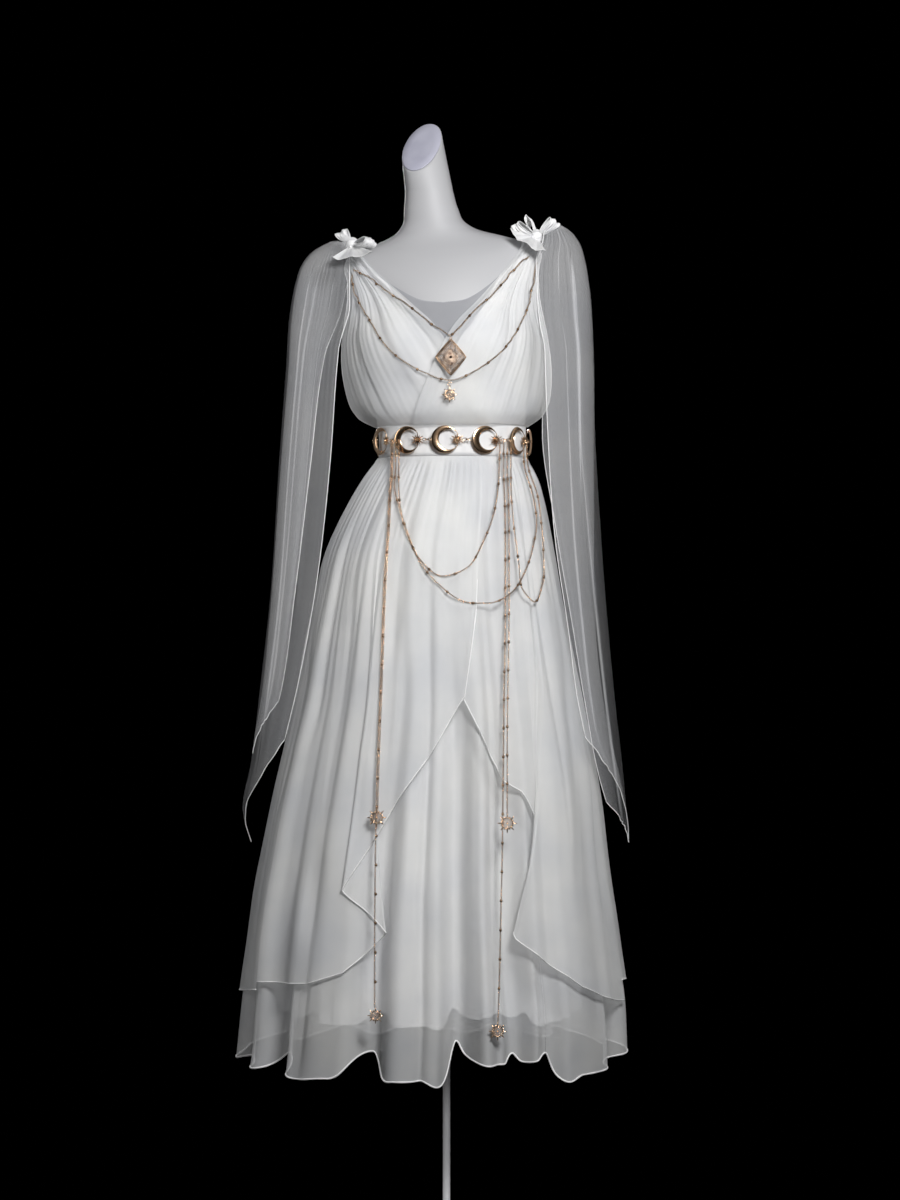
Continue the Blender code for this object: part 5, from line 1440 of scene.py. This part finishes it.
def path_places(path, pitch):
    """Centres at equal steps along a path, with the path's direction and two directions square to it."""
    along = along_path(path)
    at = pitch * (0.5 + np.arange(max(int(along[-1] / pitch), 1)))
    ahead = point_at(at + DIRECTION_STEP, along, path)
    behind = point_at(at - DIRECTION_STEP, along, path)
    direction = unit(ahead - behind)
    side = unit(np.cross(direction, (0.12, -1.0, 0.05)))
    return point_at(at, along, path), direction, side, np.cross(side, direction)


def cable_links(path):
    """Links at every pitch, turned by a quarter in turn."""
    here, direction, side, over = path_places(path, LINK_PITCH)
    odd = (np.arange(len(here)) % 2 == 1)[:, None]
    one = side * math.cos(LINK_TILT) + over * math.sin(LINK_TILT)
    other = over * math.cos(LINK_TILT) - side * math.sin(LINK_TILT)
    link = hoop((0, 0, 0), LINK_LONG, LINK_WIDE, LINK_WIRE, 8, 4)
    return copies(link, here, direction, np.where(odd, one, other), np.where(odd, other, -one))


def beads_along(path, step):
    """A bead at every step, drawn out a little along the chain."""
    here, direction, side, over = path_places(path, step)
    return copies(ball_shape((0, 0, 0), BEAD_RADIUS, 7, 9, 1.15), here, side, over, direction)


for name, path in chain_paths.items():
    around_neck = name.startswith("necklace")
    links = cable_links(path)
    if name == "strand_left":
        beside = np.array((TWIN_GAP / 2, 0.0, 0.0))
        twin = path[path[:, 2] > TWIN_END]
        links = joined([cable_links(path - beside), cable_links(twin + beside)])
    beads = beads_along(path, NECKLACE_BEADS if around_neck else STRAND_BEADS)
    chain_piece = hard_piece(f"{name}_links", links, FINISH["old_gold" if around_neck else "rose_gold"])
    bead_piece = hard_piece(f"{name}_beads", beads, FINISH["dark_gold"])
    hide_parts(name)
    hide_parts(name)
    print(name, "faces:", len(links[1]) + len(beads[1]))

# %% [markdown]
# ## Pendants and charms
# The rhombus is openwork: a double frame of dark gold wire, curved petals that fan from the middle to the
# frame, and a small dark stone. The suns are stamped rays round two rings with a rosette and a bead in the
# middle. Each hangs from a small jump ring.

# %% Pendant shapes
PENDANT_HALF_WIDTH, PENDANT_HALF_HEIGHT, PETALS = 0.0246, 0.0290, 24
CHARM_RADIUS, SMALL_CHARM_RADIUS = 0.0150, 0.0125


def petal_wire(reach, angle, width, wire):
    """A closed pointed loop of wire from the middle out to reach, at an angle."""
    t = full_turn(14)
    x = reach * (0.5 - 0.5 * np.cos(t))
    y = width * np.sin(t) * np.sin(t / 2) ** 0.6
    turned = np.stack([
        x * math.cos(angle) - y * math.sin(angle), x * math.sin(angle) + y * math.cos(angle), 0 * t,
    ], axis=-1)
    return round_wire(turned, wire, 4, True)


def rhombus_wire(share, wire, lift=0.0, sides=6):
    """A rhombus of wire with slightly rounded corners."""
    circle = ellipse(1, 1, full_turn(48))
    path = np.sign(circle) * np.abs(circle) ** 1.85 * share * (PENDANT_HALF_WIDTH, PENDANT_HALF_HEIGHT, 0)
    return round_wire(path + (0, 0, lift), wire, sides, True)


def rhombus_shapes():
    """The lace between the frames: nested rhombuses, long petals to the frame, and short ones between."""
    lace = [rhombus_wire(share, 0.00045, 0.0002, 4) for share in (0.20, 0.34, 0.48, 0.62, 0.75)]
    for i in range(PETALS):
        angle = 2 * math.pi * (i + 0.5) / PETALS
        reach = 1 / (abs(math.cos(angle)) / PENDANT_HALF_WIDTH + abs(math.sin(angle)) / PENDANT_HALF_HEIGHT)
        lace.append(petal_wire(0.88 * reach, angle, 0.0024, 0.00050))
        lace.append(petal_wire(0.52 * reach, angle + math.pi / PETALS, 0.0016, 0.00045))
    frame_wires = [rhombus_wire(0.965, 0.0011), rhombus_wire(0.86, 0.0007, 0.0004, 5)]
    top = hoop((0, PENDANT_HALF_HEIGHT + 0.0006, 0), 0.0017, 0.0020, 0.0005, 12, 5)
    return joined([*frame_wires, top]), joined(lace)


def sun_shape(radius, top_ring):
    """Eight long and eight short rays round two rings, a rosette of petals and a bead."""
    reaches = np.where(np.arange(16) % 2 == 0, radius, radius * 0.76)
    rays = rays_shape((0, 0, 0), reaches, 0.45 * radius, 0.085 * radius)
    rings = [
        hoop((0, 0, 0), radius * 0.56, radius * 0.56, radius * 0.055, 28, 6),
        hoop((0, 0, 0.0003), radius * 0.38, radius * 0.38, radius * 0.035, 22, 5),
    ]
    petals = [petal_wire(radius * 0.36, math.pi * i / 4 + 0.2, radius * 0.09, 0.0003) for i in range(8)]
    bead = ball_shape((0, 0, 0.0006), radius * 0.13, 6, 10)
    loop = hoop((0, radius + 0.0009, 0), 0.0015, 0.0015, 0.00038, 12, 5)
    shapes = [rays, *rings, *petals, bead, loop]
    if top_ring:
        shapes.append(hoop((0, radius + 0.0042, 0), 0.0024, 0.0030, 0.00045, 14, 5))
        shapes.append(hoop((0, radius + 0.0085, 0.0003), 0.0016, 0.0022, 0.00038, 12, 5))
    return joined(shapes)


def node_centre(name):
    """The middle of a solid of the loaded part."""
    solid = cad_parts[name]
    corners = np.array([solid.matrix_world @ Vector(corner) for corner in solid.bound_box])
    return (corners.min(axis=0) + corners.max(axis=0)) / 2


print("pendant helpers ready")

# %% [markdown]
# ## Hanging the pendants
# Every pendant and charm hangs with its face to the front, in the middle of its own solid. The suns
# differ in size and in the rings above them, and so they are rows of one table. The rhombus has three
# finishes, a frame, a lace and a stone, and each finish is a piece of its own.

# %% Pendants
frame_wire, lace = rhombus_shapes()
rhombus_place = frame_at(node_centre("pendant_rhombus"), (1, 0, 0), (0, -1, 0))
gem_shape = ball_shape((0, 0, 0.0006), 0.0024, 6, 10)
rhombus = hard_piece("rhombus_frame", placed(frame_wire, rhombus_place), FINISH["dark_gold"])
rhombus_lace = hard_piece("rhombus_lace", placed(lace, rhombus_place), FINISH["lace_gold"])
gem = hard_piece("rhombus_stone", placed(gem_shape, rhombus_place), FINISH["dark_stone"])
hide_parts("pendant_rhombus")
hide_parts("pendant_rhombus")
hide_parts("pendant_rhombus")

SUNS = (
    # piece, node, radius, rings above it, drop below the middle of its solid, tilt of its face
    ("sun_pendant", "pendant_sun", SMALL_CHARM_RADIUS, True, 0.005, 0.0),
    ("charm_left_upper_sun", "charm_left_upper", CHARM_RADIUS, False, 0.0, 0.06),
    ("charm_left_lower_sun", "charm_left_lower", SMALL_CHARM_RADIUS, False, 0.0, 0.06),
    ("charm_right_upper_sun", "charm_right_upper", CHARM_RADIUS, False, 0.0, 0.06),
    ("charm_right_lower_sun", "charm_right_lower", CHARM_RADIUS * 0.93, False, 0.0, 0.06),
)
for name, node, radius, top_ring, drop, tilt in SUNS:
    place = frame_at(node_centre(node) - np.array((0, 0, drop)), (1, 0, 0), (0, -1, tilt))
    sun = hard_piece(name, placed(sun_shape(radius, top_ring), place), FINISH["rose_gold"])
    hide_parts(node)
print("pendants and charms made")

# %% [markdown]
# ## Shoulder bows
# At each shoulder the gathered cloth is tied with a ribbon bow of the same stuff, doubled, so it is nearly
# opaque. A loop leaves the knot, rounds over at its tip and comes back under itself. A tail widens to a
# slanted edge. Crimps run out from the knot and fade, and each piece is a little crumpled.

# %% Bow shapes
LEFT_KNOT, RIGHT_KNOT = (-0.1525, -0.014, 1.6165), (0.1460, -0.014, 1.6296)
KNOT_REACH, KNOT_HALF_LENGTH, KNOT_RADIUS = 0.0112, 0.0105, 0.0125
LOOP_CRIMP, LOOP_CRUMPLE, LOOP_SCALLOP, TAIL_WAVE, TAIL_CRUMPLE = 0.0020, 0.0020, 0.0016, 0.0042, 0.0020
BOW_MIDDLE = (0.0, 0.05)


def from_knot(knot, toward):
    """Where a ribbon leaves the knot on its way to a point."""
    knot, toward = np.array(knot), np.array(toward)
    return knot + unit(toward - knot) * KNOT_REACH


def bow_loop(side, part, knot, tip, broad, puff, seed):
    """A ribbon out to the tip and back under itself, with crimps from the knot."""
    root, tip = from_knot(knot, tip), np.array(tip)
    length = np.linalg.norm(tip - root)
    along = (tip - root) / length
    sideways = unit(np.cross(along, (0.0, 0.55, 0.83)))
    lift = np.cross(sideways, along)
    path = np.pi * spread(60, 0.05, 0.95)[:, None, None]
    across = spread(36, -1, 1)[None, :, None]
    start = np.sin(path[0])
    out = (np.sin(path) - start) / (1 - start)
    half_width = broad / 2 * (0.35 + 0.65 * np.maximum(out, 0) ** 0.7)
    crimp = LOOP_CRIMP * np.cos(4.5 * np.pi * across + seed)
    crimp = crimp * np.exp(-2.2 * out) * np.sqrt(np.maximum(out, 0))
    crumple = LOOP_CRUMPLE * uneven(across * 0.5, path / np.pi, seed, 4, 2.6, 7) * out
    rise = -puff * np.sin(2 * path) * (1 - 0.35 * across ** 2) + crimp + crumple
    scallop = LOOP_SCALLOP * np.cos(np.pi * across * 1.5 + seed) * out ** 2
    grid = root + along * (length * out + scallop) + lift * rise + sideways * half_width * across
    sheet = panel(f"{side}_{part}", grid, FINISH["bow_cloth"], "satin_lining", centre=BOW_MIDDLE)
    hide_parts(f"bow_{side}_{part}")
    return grid


def bow_tail(side, knot, corner_a, corner_b, seed, drop):
    """A loose end that widens from the knot to a slanted edge, with folds that run out along it."""
    corner_a, corner_b = np.array(corner_a), np.array(corner_b)
    middle = (corner_a + corner_b) / 2
    root = from_knot(knot, middle)
    down, across = spread(44)[:, None, None], spread(52)[None, :, None]
    edge = corner_a + (corner_b - corner_a) * across
    narrow = root + (edge - middle) * 0.30
    edge = edge - np.array((0.0, 0.0, drop)) * np.sin(np.pi * across)
    forward = np.array([0.2, -0.8, 0.4])
    wave = TAIL_WAVE * np.cos(4 * np.pi * across + 0.4) * down
    fine = TAIL_CRUMPLE * uneven(across, down * 0.3, seed, 5, 0.6, 6) * np.sqrt(down)
    grid = narrow + (edge - narrow) * down + (wave + fine) * forward
    sheet = panel(f"{side}_tail", grid, FINISH["bow_cloth"], "satin_lining", centre=BOW_MIDDLE)
    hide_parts(f"bow_{side}_tail")
    return grid


def knot_piece(side, centre):
    """The tied middle: a small round, pinched by folds that run across it."""
    fall, turn = spread(41, 0, np.pi)[1:-1, None], full_turn(56)[None, :]
    wide = np.sin(fall) * (1 - 0.05 * np.cos(9 * turn) - 0.03 * np.cos(5 * turn + 1.0)) * KNOT_RADIUS
    rings = np.stack([
        -KNOT_HALF_LENGTH * np.cos(fall) + 0 * turn, wide * np.cos(turn), wide * np.sin(turn),
    ], axis=-1) + np.array(centre)
    piece = solid_from_rings(f"{side}_knot", rings, FINISH["bow_cloth"], "satin_lining")
    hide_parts(f"bow_{side}_knot")


print("bow helpers ready")

# %% [markdown]
# ## Tying the bows
# The left bow has two loops and the right one has three, because its third loop stands up behind the
# shoulder. A table gives each loop its tip, breadth and puff, and each tail the two corners of its end.
# The edges are kept, so that the next step can roll their hems.

# %% Bows
BOWS = (
    # side, knot, loops (part, tip, broad, puff, seed), tail (two corners, seed, drop)
    ("left", LEFT_KNOT, (
        ("loop_inner", (-0.122, -0.062, 1.617), 0.024, 0.0085, 1),
        ("loop_outer", (-0.1715, -0.027, 1.637), 0.022, 0.0065, 2),
    ), ((-0.184, -0.062, 1.590), (-0.120, -0.086, 1.597), 3, 0.003)),
    ("right", RIGHT_KNOT, (
        ("loop_inner", (0.110, -0.046, 1.645), 0.020, 0.0075, 4),
        ("loop_back", (0.134, 0.012, 1.660), 0.026, 0.0060, 5),
        ("loop_outer", (0.176, -0.030, 1.655), 0.022, 0.0065, 6),
    ), ((0.103, -0.062, 1.634), (0.158, -0.074, 1.600), 7, 0.006)),
)
bow_edges = []
for side, knot, loops, tail in BOWS:
    knot_piece(side, knot)
    for part, *sizes in loops:
        grid = bow_loop(side, part, knot, *sizes)
        bow_edges += [grid[:, 0], grid[:, -1]]
    bow_edges.append(bow_tail(side, knot, *tail)[-1])
print("bow edges to hem:", len(bow_edges))

# %% [markdown]
# ## Rolled hems
# Sheer cloth is hemmed by rolling its edge over a thread and stitching it down, which makes a fine round
# rib. It is much denser than the cloth, so it shows as a bright line along every free edge.

# %% Rolled hems
def hem(name, edges, radius, slot="organza"):
    """Ribs along rows of points, a little uneven in thickness, joined in one piece."""
    ribs = []
    for i, edge in enumerate(edges):
        at = spread(len(edge))
        swell = radius * (1 + 0.12 * uneven(at, 0 * at, 100 + i, 40, 0.0, 5))
        ribs.append(rings_shape(wire_grid(edge, swell, 6, (0.0, 0.3, 1.0))))
    return hard_piece(name, joined(ribs), FINISH["rolled_hem"], slot)


SKIRT_RIB, OVERSKIRT_RIB, SLEEVE_RIB, BOW_RIB, EDGE_RIB = 0.0014, 0.0010, 0.0007, 0.0006, 0.0004
hem_angles = spread(900, -180, 180)
skirt_edge = skirt_cloth_point(hem_angles, hem_height(hem_angles) + 0.001)
arm_edges = [grid[:, 0] for grid in bodice_grids.values()]
# The overskirt's front edges show a rib on their lower part alone, where they part.
HEMS = {
    "skirt_front_cloth": [hem("skirt_hem", [skirt_edge], SKIRT_RIB)],
    "overskirt_front_left_cloth": [
        hem("overskirt_left_hem", [left_grid[-1]], OVERSKIRT_RIB),
        hem("overskirt_left_edge", [left_grid[80:, -1]], EDGE_RIB),
    ],
    "overskirt_front_right_cloth": [
        hem("overskirt_right_hem", [right_grid[-1]], OVERSKIRT_RIB),
        hem("overskirt_right_edge", [right_grid[70:, 0]], EDGE_RIB),
    ],
    "overskirt_back_cloth": [hem("overskirt_back_hem", [back_grid[-1]], OVERSKIRT_RIB)],
    "bodice_front_left_cloth": [hem("bodice_arm_hems", arm_edges, EDGE_RIB)],
    "left_loop_inner": [hem("bow_hems", bow_edges, BOW_RIB, "satin_lining")],
}
for side in ("left", "right"):
    front, back = sleeve_grids[f"{side}_front"], sleeve_grids[f"{side}_back"]
    edges = [front[-1], front[:, -1], back[-1], back[:, -1]]
    HEMS[f"sleeve_{side}_front_cloth"] = [hem(f"sleeve_{side}_hems", edges, SLEEVE_RIB, "tulle")]
print("hems made")
